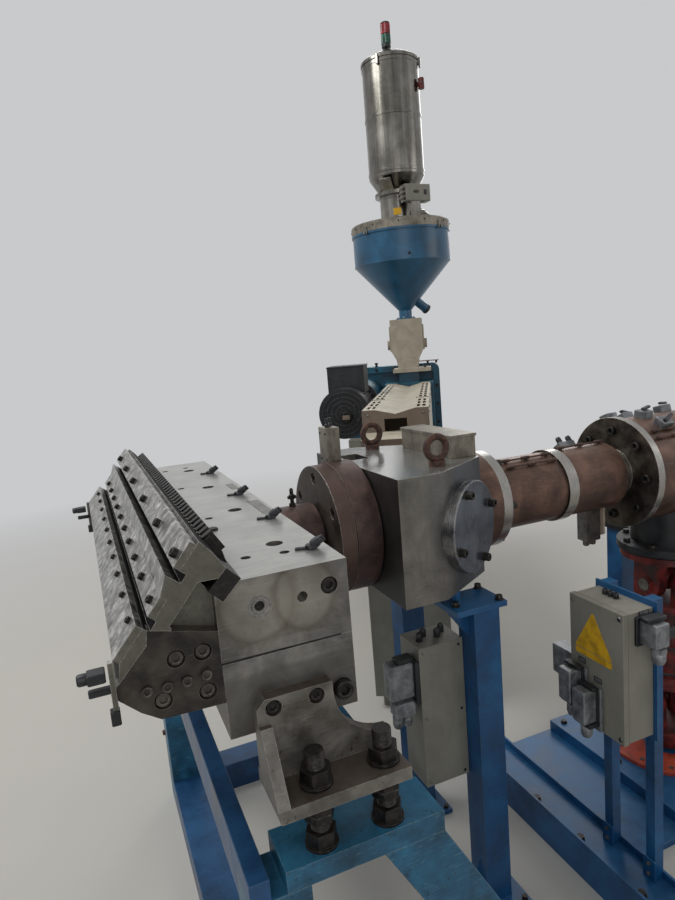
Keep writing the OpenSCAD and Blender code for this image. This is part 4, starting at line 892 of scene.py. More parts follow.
class EXTRUDER_OT_lip(ExtruderStep):
    """Screws of the lip bars, ribs of the comb, and strips and clips at the lip's ends"""

    bl_idname = "extruder.lip"
    bl_label = "Lip screws and clips"

    def execute(self, context):
        run = np.linspace(0, 1093.5, context.scene.extruder_sizes.low_screws)
        rows = [
            (50, 0, run - 572, self.mm("low_screw_r"), 6),
            (95, -8, 0.996 * run - 585, self.mm("mid_screw_r"), 8),
            (175, 0, (-590, -380, -140, 105, 320, 545), self.mm("top_screw_r"), 10),
            (195, -12, (-507, 8, 491), 5.0, 8),
        ]
        heads = [aimed(cap_screw(radius, height), [slope_spot(up, out, y) for y in stations],
                       SLOPE_OUT, 12) for up, out, stations, radius, height in rows]
        surface("lip_screws", heads, "dark_steel")
        comb_out = (-0.525, 0, 0.851)
        teeth = np.array([[172.6, y, 1287.4] for y in np.linspace(-531.4, 531.4, 40)])
        ribs = aimed(box([13.4, 20.4, 5], 1.2, 0.8), teeth, comb_out)
        gaps = aimed(box([4, 3, 2], 0.5, 0.4), teeth + [-9.5, 13.6, -3.6], comb_out)
        surface("comb_teeth", [ribs], "dark_steel")
        surface("comb_gaps", [gaps], "machined_steel")
        strip = aimed(box([8, 10, 79], 0.6, 0.6), both_ends([-4, -HALF_W - 1, 1071]))
        surface("lip_end_strips", [strip], "lip_steel")
        jaw = aimed(box([26, 26, 16], 2, 1.5), both_ends([-25, -HALF_W + 4, 1122]))
        arm = aimed(box([34, 12, 10], 2, 1.2), both_ends([-22, -HALF_W + 4, 1100]))
        foot = aimed(box([14, 18, 22], 2, 1.2), both_ends([-6, -HALF_W - 1, 1052]))
        knob = aimed(turned([(0, 0), (8, 0), (9, 3), (9, 13), (7, 16), (0, 16)], knurl=(2, 3)),
                     both_ends([-36, -HALF_W + 4, 1130]), FRONT)
        surface("lip_clips", [jaw, arm, foot, knob], "black_paint")
        return {"FINISHED"}


class EXTRUDER_OT_die_ends(ExtruderStep):
    """Screws, bushes and plugs in the die's ends and end plates, and the seam between its halves"""

    bl_idname = "extruder.die_ends"
    bl_label = "Screws of the die's ends"

    def execute(self, context):
        large = [(90, 1128), (131, 1129), (132, 1063), (64, 1067)]
        small = [(102, 1090), (132, 1092), (72, 1089), (42, 1090)]
        heads = [
            aimed(cap_screw(self.mm("end_screw_r"), 8.5), end_spots(large, HALF_W - 10), NEAR),
            aimed(cap_screw(8.5, 8), end_spots(small, HALF_W), NEAR, 20),
        ]
        surface("end_plate_screws", [both_sides(h) for h in heads], "oiled_steel")
        bush = [(13.9, -26), (13.9, -1), (13.4, -0.4), (9.5, -0.4), (8, -2), (8, -24), (13.9, -26)]
        ring = [(14.2, -0.3), (15, 0.8), (19.5, 0.8), (20.3, -0.3), (14.2, -0.3)]
        bushes = [aimed(turned(profile, 32), end_spots([(228, 1180)], HALF_W), NEAR)
                  for profile in (bush, ring)]
        surface("die_end_bushes", [both_sides(b) for b in bushes], "machined_steel")
        caps = [
            aimed(cap_screw(13.5, 10.5), end_spots([(348, 1189)], HALF_W - 12), NEAR, 8),
            aimed(cap_screw(16.3, 24, 48), end_spots([(356, 1004)], HALF_W - 10), NEAR, 4),
            aimed(cap_screw(11.5, 9), end_spots([(227, 1017), (301, 1017)], HALF_W + 12), NEAR, 15),
        ]
        surface("die_end_screws", [both_sides(c) for c in caps], "dark_steel")
        rings = [aimed(drum(10 - k % 2 * 2.5, 4), end_spots([(14, 1093)], HALF_W - 26 + 4 * k), NEAR)
                 for k in range(6)]
        block = aimed(box([14, 20, 12], 1, 0.8), both_ends([153, -HALF_W + 16, 1101]))
        surface("die_end_plugs", [both_sides(r) for r in rings] + [block], "dark_steel")
        seam = aimed(prism([(104, 1.9), (-104, 1.3), (-104, -1.3), (104, -1.9)], 0.5, 0.1),
                     both_ends([258, -HALF_W, MELT_Z]), NEAR, 180)
        surface("parting_seam", [seam], "dark_steel")
        return {"FINISHED"}


class EXTRUDER_OT_die_top(ExtruderStep):
    """Screws deep in the top recesses, sensor plugs along the back edge, and bare etched patches"""

    bl_idname = "extruder.die_top"
    bl_label = "Sensor plugs and sunk screws"

    def execute(self, context):
        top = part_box("die_upper_body")[1].z * 1000
        sunk = top - 22
        row = [[304, (i + 0.5) * HALF_W / 2 - HALF_W, sunk] for i in range(4)]
        small = [[x, side * share * HALF_W, sunk]
                 for x, share in ((237, 0.31), (237, 0.83), (304, 0.85)) for side in (-1, 1)]
        surface("recess_screws", [aimed(cap_screw(12.5, 10), row, UP, 10),
                                  aimed(cap_screw(7, 8), small)], "dark_steel")
        plugs = np.array([[350, y, top] for y in (355, -4, -283, -534)])
        slant = (0.80, -0.22, 0.56)
        barrel = turned([(0, -2), (7.5, -2), (9, 2), (9, 11), (7, 12), (7, 18), (5.6, 20), (4, 20),
                         (4, 16), (0, 16)], knurl=(2, 3))
        foot = turned([(0, 0), (12, 0), (12, 6), (10, 8), (0, 8)], hexagons=(1, 2))
        lug = prism(rounded(26, 9, 3), 4, 0.8)
        wing = prism(rounded(5, 16, 2), 13, 0.8)
        parts = [aimed(foot, plugs), aimed(barrel, plugs + [3, -1, 7], slant),
                 aimed(lug, plugs + [-15, 6, 0], UP, -20),
                 aimed(wing, plugs + [12, -4, 12], slant, 30)]
        surface("sensor_plugs", parts, "black_paint")
        cover = turned([(0, 0), (11, 0), (11, 2), (9, 4.5), (0, 4.5)])
        surface("oil_plug", [aimed(cover, [[225, -292, top]])], "dark_steel")
        patches = [(19, 82, [361, 113, top]), (26, 146, [361, -163, top])]
        for name, inset, height, finish in (("etched_frames", 0, 0.2, "stained_steel"),
                                            ("etched_patches", 3, 0.4, "stainless")):
            surface(name, [aimed(prism(rounded(w - inset, d - inset, 1), height, 0.05), [spot])
                           for w, d, spot in patches], finish)
        return {"FINISHED"}


class EXTRUDER_OT_stand(ExtruderStep):
    """Threads and lock nuts of the levelling studs and the bolts of the stand"""

    bl_idname = "extruder.stand"
    bl_label = "Stud threads and stand screws"

    def execute(self, context):
        def studs(z):
            """The four levelling studs' axes at a height."""
            return both_ends([[x, -675, z] for x in (275, 395)])

        pitch = self.mm("thread_pitch")
        threads = [aimed(threaded(15.0, 1.7, pitch, length), studs(z))
                   for length, z in ((27, 923.5), (33, 814))]
        surface("stud_threads", threads, "dark_steel")
        nut = turned([(15.2, 0), (24, 0), (25.5, 2), (25.5, 14), (22, 16), (15.2, 16), (15.2, 0)],
                     hexagons=(1, 2, 3))
        surface("lock_nuts", [aimed(nut, studs(830))], "dark_steel")
        bolts = aimed(hex_head(9, 9), both_ends([[142, -690, z] for z in (250, 420)]), FRONT)
        surface("stand_bolts", [bolts], "rusty_steel")
        return {"FINISHED"}


class EXTRUDER_OT_feedblock(ExtruderStep):
    """Screws of the adapter, the port cap and the collar, and the fittings on top of them"""

    bl_idname = "extruder.feedblock"
    bl_label = "Feedblock screws and fittings"

    def execute(self, context):
        heads = [
            aimed(cap_screw(12.5, 14), ring_spots(569, 140, 6), FRONT),
            aimed(cap_screw(10, 18, 48), ring_spots(1083, 129, 6, 30), BACK),
        ]
        surface("flange_screws", heads, "dark_steel")
        out = np.array(PORT_OUT)
        across = np.array([math.cos(PORT_ANGLE), math.sin(PORT_ANGLE), 0])
        centre = np.array([PORT[0], -PORT[1], MELT_Z])
        plug = turned([(0, -3), (117, -3), (117, 12), (115.5, 13), (115.5, 14.5), (118.5, 16),
                       (118.5, 28), (116, 30.5), (96, 30.5), (60, 29.6), (30, 29.9), (12, 30.4),
                       (0, 30.2)], 120)
        cap = surface("port_cap", [aimed(plug, [centre], out)], "turned_steel")
        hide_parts("feed_port_cap")
        turn = np.radians(24 + 90 * np.arange(4))[:, None]
        spots = centre + 29 * out + 100 * (np.cos(turn) * across + np.sin(turn) * np.array(UP))
        surface("port_cap_screws", [aimed(cap_screw(10.5, 19, 48), spots, out, 10)], "dark_steel")
        surface("port_cap_washers", [aimed(drum(13, 2.2), spots, out)], "stained_steel")
        nipple = turned([(0, 0), (5, 0), (5, 12), (8, 12), (8, 22), (5, 24), (5, 36), (3, 40),
                         (0, 40)])
        surface("neck_fitting", [
            aimed(drum(9, 10, hexagons=(1, 2)), [[490, 0, 1174]]),
            aimed(nipple, [[490, 0, 1184]]),
            aimed(drum(4.5, 22, 12), [[479, 0, 1200]], BACK),
        ], "dark_steel")
        stub = turned([(0, 0), (7, 0), (7, 8), (4.5, 10), (4.5, 24), (0, 24)], hexagons=(1, 2))
        surface("sensor_posts", [aimed(stub, [[616, 28, 1366], [632, 50, 1366]])], "black_paint")
        dome = turned([(0, 0), (3, 0), (3, 1.4), (0, 1.8)], 12)
        screws = [[604.9, y, z] for y in (20, 58) for z in (1280, 1350)]
        surface("sensor_box_screws", [aimed(dome, screws, FRONT)], "dark_steel")
        return {"FINISHED"}


class EXTRUDER_OT_pipe(ExtruderStep):
    """Clamp rods along the heater bands, their terminal box and the connector below"""

    bl_idname = "extruder.pipe"
    bl_label = "Heater band clamps"

    def execute(self, context):
        rods, feet = [], []
        sleeve = turned([(2.8, 0), (4.6, 0), (5.2, 2), (5.2, 28), (4.6, 30), (2.8, 30), (2.8, 0)])
        # Each rod: start and end, degrees from the top towards the near side, distance from the axis
        for start, end, degrees, radius in (
                (1125, 1308, 18, 112), (1125, 1308, 34, 112), (1352, 1542, 4, 112),
                (1640, 1800, 38, 177), (1640, 1800, 47, 177), (1840, 1990, 38, 177),
                (1840, 1990, 47, 177)):
            out = melt_out(degrees)
            seat = np.array([0, 0, MELT_Z]) + radius * out
            middle = (start + end) / 2
            rods.append(aimed(drum(2.8, end - start, 12), [seat + [start, 0, 0]], BACK))
            rods.append(aimed(sleeve, [seat + [x, 0, 0] for x in (start, middle - 18, end - 36)],
                              BACK))
            feet.append(aimed(box([9, 8, 9], 1.5, 1), [
                seat - 7.5 * out + [x, 0, 0] for x in (start + 18, middle, end - 18)], out))
        surface("band_clamp_rods", rods, "rusty_steel")
        surface("band_clamp_feet", feet, "stained_steel")
        tilt = (0, 0.6, 0.8)
        surface("band_terminal_box", [aimed(box([62, 46, 34], 4, 2), [[1486, 92, 1168]], tilt)],
                "alloy_hood")
        surface("band_terminal_glands", [aimed(gland(10, 22), [[x, 101, 1201] for x in (1466, 1506)],
                                               tilt)], "black_paint")
        surface("band_connector", [
            aimed(box([58, 44, 104], 3, 2), [[1484, 0, 893]]),
            aimed(gland(12, 18), [[x, 0, 893] for x in (1472, 1498)], DOWN)], "stained_steel")
        cuff = turned([(0, 0), (16, 0), (17, 4), (15.5, 20), (17, 44), (16, 70), (17, 92), (0, 92)])
        surface("band_sleeve", [aimed(cuff, [[1530, 0, 905]])], "cream_paint")
        return {"FINISHED"}


class EXTRUDER_OT_pump(ExtruderStep):
    """Screws of the pump's flanges and the connectors on top of it"""

    bl_idname = "extruder.pump"
    bl_label = "Pump screws and connectors"

    def execute(self, context):
        heads = aimed(cap_screw(self.mm("flange_screw_r"), 28, 48), ring_spots(1607, 138, 8),
                      FRONT, 6)
        surface("pump_flange_screws", [heads], "dark_steel")
        blocks, levers = [], []
        for x, degrees in ((1644, -22), (1740, -30), (1705, 6), (1712, 30), (1860, -14), (1930, 12)):
            out = melt_out(degrees)
            blocks.append(aimed(box([44, 40, 30], 4, 2), [164 * out + [x, 0, MELT_Z]], out))
            levers.append(aimed(box([60, 12, 8], 3, 1.5), [197 * out + [x + 8, 0, MELT_Z]], out, 24))
        surface("pump_connectors", blocks, "alloy_hood")
        surface("pump_levers", levers[1:], "black_paint")
        bolts = circle_spots([DRIVE_X, 0, 831], 138, 8, 22.5)
        surface("drive_adapter_bolts", [aimed(hex_head(11, 12), bolts)], "dark_steel")
        feet = [[1885 + x, 252.5 * s + y, 70] for s in (-1, 1) for x in (-38, 38) for y in (-38, 38)]
        surface("column_foot_bolts", [aimed(hex_head(5, 6), feet)], "rusty_steel")
        return {"FINISHED"}


class EXTRUDER_OT_shaft(ExtruderStep):
    """Bolts, bearing caps and seams that turn with the cardan shaft"""

    bl_idname = "extruder.shaft"
    bl_label = "Cardan shaft fittings"

    def execute(self, context):
        bolts = [aimed(hex_head(9, 9), circle_spots([DRIVE_X, 0, 778], 128, 8, 22.5), DOWN),
                 aimed(hex_head(8, 8), circle_spots([DRIVE_X, 0, 169], 92, 8, 22.5))]
        retainer = turned([(0, 0), (19, 0), (21, 1.5), (21, 4), (8, 5), (0, 3)], 32)
        caps = [aimed(retainer, [np.array([DRIVE_X, 0, z]) + 105.5 * np.array(axis)], axis)
                for z in (685, 240) for axis in (BACK, FRONT, NEAR, FAR)]
        seams = aimed(hoop(59, 61.5, 9.5, 32), [[DRIVE_X, 0, 440], [DRIVE_X, 0, 345]])
        surface("shaft_bolts", bolts, "dark_steel", body="shaft")
        surface("cross_caps", caps, "stained_steel", body="shaft")
        surface("shaft_seams", [seams], "black_paint", body="shaft")
        return {"FINISHED"}


class EXTRUDER_OT_frames(ExtruderStep):
    """Screws of the drive ring, the base frame, the posts and the block's columns"""

    bl_idname = "extruder.frames"
    bl_label = "Frame and base screws"

    def execute(self, context):
        ring = circle_spots([DRIVE_X, 0, 72], 178, 12, 15)
        surface("ring_screws", [aimed(cap_screw(8, 3), ring)], "stained_steel")
        channel = [[1192, y, 100] for y in (-560, -470, -250, -60, 140, 340, 540)]
        base = [[DRIVE_X + x, y, 58] for x in (-235, 215) for y in (-270, 0, 270)]
        surface("frame_bolts", [aimed(hex_head(12, 11), channel), aimed(hex_head(11, 10), base)],
                "dark_steel")
        lips = [aimed(prism(rounded(8, 1236, 1), 22, 1, 100), [[x, 0, 0]]) for x in (1174, 1286)]
        surface("channel_lips", lips, "blue_paint")
        posts = (-369 - 72, -369 + 72)
        surface("post_tabs", [aimed(box([6, 40, 66], 2, 1), [[1252.5, y, 96] for y in posts])],
                "blue_paint")
        surface("post_tab_screws", [aimed(hex_head(5, 5), [[1249, y, z] for y in posts
                                                           for z in (118, 148)], FRONT)],
                "stained_steel")
        heads = both_ends([[820, -240, 905], [936, -262, 905], [936, -168, 905]])
        surface("column_head_bolts", [aimed(hex_head(10, 12), heads)], "dark_steel")
        feet = both_ends([[x, y, 15] for x in (846, 974) for y in (-268, -140)])
        surface("column_base_bolts", [aimed(hex_head(8, 9), feet)], "dark_steel")
        return {"FINISHED"}


class EXTRUDER_OT_junction_box(ExtruderStep):
    """The plain yellow film, lid screws, plug frames, latches and glands of the box"""

    bl_idname = "extruder.junction_box"
    bl_label = "Junction box fittings"

    def execute(self, context):
        face_x = 1150
        front = [(-311, 632), (-361, 596)]
        # The film is a triangle with round corners over a strip; its middle lies 0.288 of its side
        # above its foot
        side = self.mm("sign_w")
        centre = np.array([face_x, -360, 744 + 0.288 * side])
        corner, radius = np.radians([90, 210, 330]), 4.0
        arcs = np.radians(np.linspace(-60, 60, 5))
        reach = (side + 8) / math.sqrt(3) - 2 * radius
        outline = np.concatenate([
            reach * np.array([math.cos(a), math.sin(a)])
            + radius * np.column_stack([np.cos(a + arcs), np.sin(a + arcs)]) for a in corner])
        surface("plain_film", [
            aimed(prism(outline, 0.6, 0.05), [centre], FRONT),
            aimed(prism(rounded(side + 4, 17, 1), 0.6, 0.1), [[face_x, -360, 731]], FRONT),
        ], "sign_film")
        screw = turned([(0, 0), (6, 0), (6, 1.5), (5, 2.6), (0, 2.6)])
        corners = [[face_x, y, z] for y in (-448, -290) for z in (546, 867)]
        surface("box_screws", [aimed(screw, corners, FRONT)], "stainless")
        surface("plug_frames", [aimed(box([64, 118, 10], 4, 1.5),
                                      [[face_x - 1, y, z] for y, z in front], FRONT)], "alloy_hood")
        fittings = [
            aimed(box([52, 98, 7], 4, 1.5), [[face_x - 10, y, z + 8] for y, z in front], FRONT),
            aimed(box([20, 58, 9], 4, 2), [[1128, y - 1, z + 58] for y, z in front]),
            aimed(box([36, 56, 12], 3, 2), [[1124, y, z - 44] for y, z in front]),
            aimed(box([66, 76, 8], 4, 1.5), [[1220, -458, 830]], NEAR),
            aimed(box([60, 26, 12], 4, 2), [[1220, -486, 862]]),
            aimed(box([14, 26, 30], 3, 2), [[1246, -500, 826]], BACK),
        ]
        surface("plug_gaskets", fittings, "black_paint")
        surface("plug_glands", [aimed(gland(17, 44), [[1122, y, z - 34] for y, z in front], DOWN),
                                aimed(gland(19, 40), [[1220, -500, 798]], DOWN)], "alloy_hood")
        surface("far_plug_hood", [aimed(box([44, 100, 86], 6, 3), [[1192, -228, 604]]),
                                  aimed(gland(16, 40), [[1192, -210, 604]], DOWN)], "alloy_hood")
        surface("far_plug_frame", [aimed(box([60, 112, 8], 4, 1.5), [[1192, -280, 647]], FAR)],
                "black_paint")
        for name, front_size, near_size, corner, finish in (
                ("blank_labels", [26, 15, 1.2], [34, 17, 1.2], 1.5, "black_paint"),
                ("blank_label_faces", [20, 10, 1.8], [27, 12, 1.8], 1, "alloy_hood")):
            surface(name, [
                aimed(box(front_size, corner, 0.4), [[face_x, -320, 706], [face_x, -375, 673]],
                      FRONT),
                aimed(box(near_size, corner, 0.4), [[1218, -458, 870]], NEAR)], finish)
        tops = [[1218, y, 881] for y in (-335, -353, -371)]
        surface("box_top_glands", [aimed(gland(8.5, 13), tops)], "black_paint")
        return {"FINISHED"}


class EXTRUDER_OT_cabinet(ExtruderStep):
    """Glands, cover screws and plug hoods of the heater cabinet"""

    bl_idname = "extruder.cabinet"
    bl_label = "Cabinet fittings"

    def execute(self, context):
        tops = [[762, -140, 785], [786, -118, 785], [817, -140, 785], [842, -118, 785]]
        surface("cabinet_glands", [aimed(gland(10, 22), tops)], "black_paint")
        screws = [[x, -182, z] for x in (748, 856) for z in (400, 585, 770)]
        dome = turned([(0, 0), (4, 0), (4, 1.4), (0, 2)], 12)
        surface("cabinet_screws", [aimed(dome, screws, NEAR)], "stainless")
        surface("cabinet_plug_hoods", [
            aimed(box([72, 46, 96], 8, 4), [[690, -150, 652]]),
            aimed(box([60, 46, 40], 8, 4), [[696, -150, 600]]),
            aimed(gland(15, 34), [[x, -150, 600] for x in (678, 706)], DOWN)], "alloy_hood")
        surface("cabinet_plug_frames", [
            aimed(box([60, 118, 14], 4, 2), [[738, -150, 690]], FRONT),
            aimed(box([50, 34, 12], 4, 2), [[704, -150, 748]])], "black_paint")
        return {"FINISHED"}


class EXTRUDER_OT_side_extruder(ExtruderStep):
    """Fan grille, cover seams, screws and plates of the side extruder"""

    bl_idname = "extruder.side_extruder"
    bl_label = "Side extruder fittings"

    def execute(self, context):
        fan_s = 1140
        rings = [turned([(r, 0), (r, 5), (r + 4, 6), (r + 7, 5), (r + 7, 0), (r, 0)], 48)
                 for r in (34, 56, 78, 100)]
        grille = [aimed(ring, [side_spot(fan_s, *MOTOR)], TO_BLOCK) for ring in rings]
        count = context.scene.extruder_sizes.fan_bars
        bar = prism(rounded(4, 84, 1), 5, 1)
        for k, spot in enumerate(motor_spots(fan_s, 72, count)):
            grille.append(aimed(bar, [spot], TO_BLOCK, 360 * k / count + 90))
        surface("fan_grille", grille, "black_paint")
        boss = turned([(0, 0), (30, 0), (30, 18), (24, 26), (0, 26)], 32)
        surface("fan_hub", [aimed(boss, [side_spot(fan_s, 277, 1234)], TO_BLOCK)], "dark_steel")
        surface("fan_hub_plate", [aimed(box([34, 20, 3], 2, 0.8), [side_spot(1113, 277, 1234)],
                                        TO_BLOCK)], "cream_paint")
        heading = 90 - math.degrees(PORT_ANGLE)
        lid = aimed(box([196, 196, 8], 4, 2), [side_spot(1395, 290, 1470)], UP, heading)
        surface("terminal_lid", [lid], "black_paint")
        edge = aimed(box([8, 190, 40], 2, 1), [side_spot(1493, 290, 1400)], UP, heading)
        surface("terminal_edge", [edge], "alloy_hood")
        seams = [side_spot(s, left, 1319) for s in (980, 2037) for left in (-100, 100)]
        surface("cover_seams", [aimed(box([5, 60, 4], 1, 0.8), seams, UP, heading)], "cream_paint")
        dome = turned([(0, 0), (6, 0), (5, 2.6), (2.5, 3.8), (0, 4)], 16)
        stations = [(s, z) for s in (570, 760, 950, 1010, 1350, 1690, 2010) for z in (980, 1300)]
        surface("cover_screws", [
            aimed(dome, [side_spot(s, -132, z) for s, z in stations], FROM_DIE),
            aimed(dome, [side_spot(s, 132, z) for s, z in stations], TO_DIE),
            aimed(dome, [side_spot(540, left, z) for left in (-110, 110) for z in (1245, 1300)],
                  TO_BLOCK)], "stainless")
        surface("housing_top_plate", [
            aimed(box([110, 143, 4], 3, 1), [side_spot(2350, -120, 1440)], UP, heading),
            aimed(drum(7, 16, 12), [side_spot(2320, left, 1424.5) for left in (-175, -120)]),
        ], "rusty_steel")
        breather = turned([(0, 0), (11, 0), (11, 8), (7, 9), (7, 16), (12, 18), (12, 26), (0, 30)],
                          hexagons=(1, 2))
        surface("housing_breather", [aimed(breather, [side_spot(2340, 220, 1424)])], "dark_steel")
        rim = [(left, z) for z in (1040, 1160, 1280) for left in (-172, 410)]
        rim += [(left, 1405) for left in (-100, 60, 220, 350)]
        surface("housing_bolts", [aimed(hex_head(9, 9), [side_spot(2295, *spot) for spot in rim],
                                        TO_BLOCK)], "dark_steel")
        surface("lantern_bolts", [aimed(hex_head(6, 8), motor_spots(1714, 115, 8, 22.5), ALONG)],
                "stainless")
        return {"FINISHED"}


class EXTRUDER_OT_hopper(ExtruderStep):
    """Bolts and clamps of the feed casting and hopper, and the drain's cap"""

    bl_idname = "extruder.hopper"
    bl_label = "Hopper fittings"

    def execute(self, context):
        foot = [side_spot(s, left, 1410) for s in (2104, 2276) for left in (-104, 96)]
        surface("casting_bolts", [aimed(hex_head(9, 9), foot)], "dark_steel")
        flange = circle_spots(hopper_spot(0, 0, 1723), 51, 4, 45)
        surface("outlet_bolts", [aimed(hex_head(6, 7), flange)], "stainless")

        def on_wall(shape, radius, z, degrees):
            """A shape that looks out from the hopper's axis, set at a radius, height and angle."""
            out = np.array([math.cos(math.radians(degrees)), math.sin(math.radians(degrees)), 0])
            return aimed(shape, [hopper_spot(0, 0, z) + radius * out], out)

        screw = turned([(0, 0), (5, 0), (5, 2), (3, 4), (0, 4)], 12)
        surface("lid_screws", [on_wall(screw, 302, 2266, 30 * k) for k in range(12)], "dark_steel")
        surface("lid_clamps", [on_wall(box(size, 3, 1.5), radius, z, degrees)
                               for degrees in (200, 290, 20, 110)
                               for size, radius, z in (([18, 42, 9], 301, 2240),
                                                       ([10, 16, 18], 306, 2226))], "stainless")
        surface("hopper_seam", [aimed(hoop(294.6, 296.6, 6, 96), [hopper_spot(0, 0, 2048)])],
                "hopper_paint")
        # The drain leans 128 degrees from upright and is 88 long
        lean = math.radians(128)
        axis = np.array([math.sin(lean), 0, math.cos(lean)])
        cap = turned([(0, 0), (31, 0), (31, 14), (28, 18), (0, 18)], 32)
        surface("drain_cap", [aimed(cap, [hopper_spot(78.6, 0, 1830) + 88 * axis], axis)],
                "black_paint")
        out = np.array([-0.34, -0.94, 0])
        plug = turned([(0, 0), (9, 0), (9, 5), (5, 8), (0, 8)], hexagons=(1, 2))
        surface("hopper_plug", [aimed(plug, [hopper_spot(0, 0, 2082) + 295 * out], out)],
                "dark_steel")
        return {"FINISHED"}


class EXTRUDER_OT_loader(ExtruderStep):
    """Control box front, glands, valve legs, vent, bands and air fitting of the loader"""

    bl_idname = "extruder.loader"
    bl_label = "Loader fittings"

    def execute(self, context):
        face_y = -238
        front = aimed(box([161, 91, 6], 5, 2), [hopper_spot(1.5, face_y, 2426.5)], NEAR)
        surface("control_front", [front], "grey_paint")
        rocker = aimed(box([15, 26, 9], 2, 1.5), [hopper_spot(48, face_y - 4, 2428)], NEAR)
        surface("control_rocker", [rocker], "black_paint")
        turn = np.linspace(0, 6.06, 28)
        badge = prism(np.column_stack([20 * np.cos(turn), 10 * np.sin(turn)]), 2, 0.4)
        surface("control_badge", [aimed(badge, [hopper_spot(-12, face_y - 5, 2430)], NEAR)],
                "stained_steel")
        glands = [hopper_spot(-81, -208, z) for z in (2400, 2426, 2452)]
        surface("control_glands", [aimed(gland(10, 20), glands, FRONT)], "grey_paint")
        leg = turned([(0, 0), (11, 0), (13, 4), (13, 34), (9, 38), (9, 88), (0, 88)])
        surface("valve_legs", [aimed(leg, [hopper_spot(x, -214, 2291) for x in (-30, 12)])],
                "black_paint")
        plate = aimed(box([46, 40, 1.2], 1, 0.4), [hopper_spot(-62, -94.5, 2352)],
                      (-0.55, -0.835, 0))
        surface("neck_plate", [plate], "sign_film")
        surface("neck_hoops", [aimed(hoop(112, 114.5, 13.5, 72),
                                     [hopper_spot(0, 0, z) for z in (2292, 2436)])], "stainless")
        flap = aimed(box([74, 96, 5], 3, 1.5), [hopper_spot(-118, -92, 2500)],
                     (-0.62, -0.49, -0.61))
        surface("neck_flap", [flap], "stainless")
        surface("vessel_bands", [aimed(hoop(168, 171, 18, 96, 2),
                                       [hopper_spot(0, 0, z) for z in (2578, 2890, 3176)])],
                "stainless")
        toggles = [aimed(box([16, 58, 12], 3, 2), [hopper_spot(172 * x, 172 * y, 3190)], (x, y, 0))
                   for x, y in ((0.79, -0.61), (-0.79, -0.61))]
        surface("dome_toggles", toggles, "stainless")
        out = np.array([0.64, -0.77, 0])
        spot = hopper_spot(0, 0, 3060) + 166 * out
        nut = turned([(0, 0), (14, 0), (14, 10), (20, 12), (20, 34), (15, 38), (0, 38)],
                     hexagons=(1, 2))
        valve = turned([(0, -30), (16, -30), (18, -26), (18, 26), (16, 30), (0, 30)])
        surface("air_valve", [aimed(nut, [spot], out), aimed(valve, [spot + 24 * out])],
                "red_paint")
        ribs = []
        for angle in np.radians((12, 30, 48, 66)):
            out, z = math.cos(angle), 86 * math.sin(angle)
            rib = turned([(86 * out, z - 1.5), (88 * out, z), (86 * out, z + 1.5), (80 * out, z),
                          (86 * out, z - 1.5)], 48)
            ribs.append(aimed(rib, [hopper_spot(98, -54, 2290)]))
        surface("vent_ribs", ribs, "stainless")
        return {"FINISHED"}


class EXTRUDER_OT_lamp(ExtruderStep):
    """The signal lamp: black foot and stem, ribbed green and red sections, black cap"""

    bl_idname = "extruder.lamp"
    bl_label = "Signal lamp"

    def execute(self, context):
        spot = [hopper_spot(-14, 0, 3260)]
        foot = turned([(0, 0), (16, 0), (16, 4), (9, 6), (9, 38), (24, 40), (27, 44), (27, 62),
                       (0, 62)], 32)
        cap = turned([(0, 172), (27.5, 172), (27.5, 177), (24, 180), (0, 180)], 32)
        surface("lamp_foot", [aimed(foot, spot), aimed(cap, spot)], "black_paint")
        for name, low, high, finish in (("lamp_green", 62, 114, "green_lens"),
                                        ("lamp_red", 115, 172, "lamp_lens")):
            section = turned([(0, low), (26, low), (27.6, low + 2), (27.6, high - 2), (26, high),
                              (0, high)], 72, knurl=(2, 3))
            made = surface(name, [aimed(section, spot)], finish)
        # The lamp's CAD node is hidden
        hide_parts("signal_lamp")
        return {"FINISHED"}


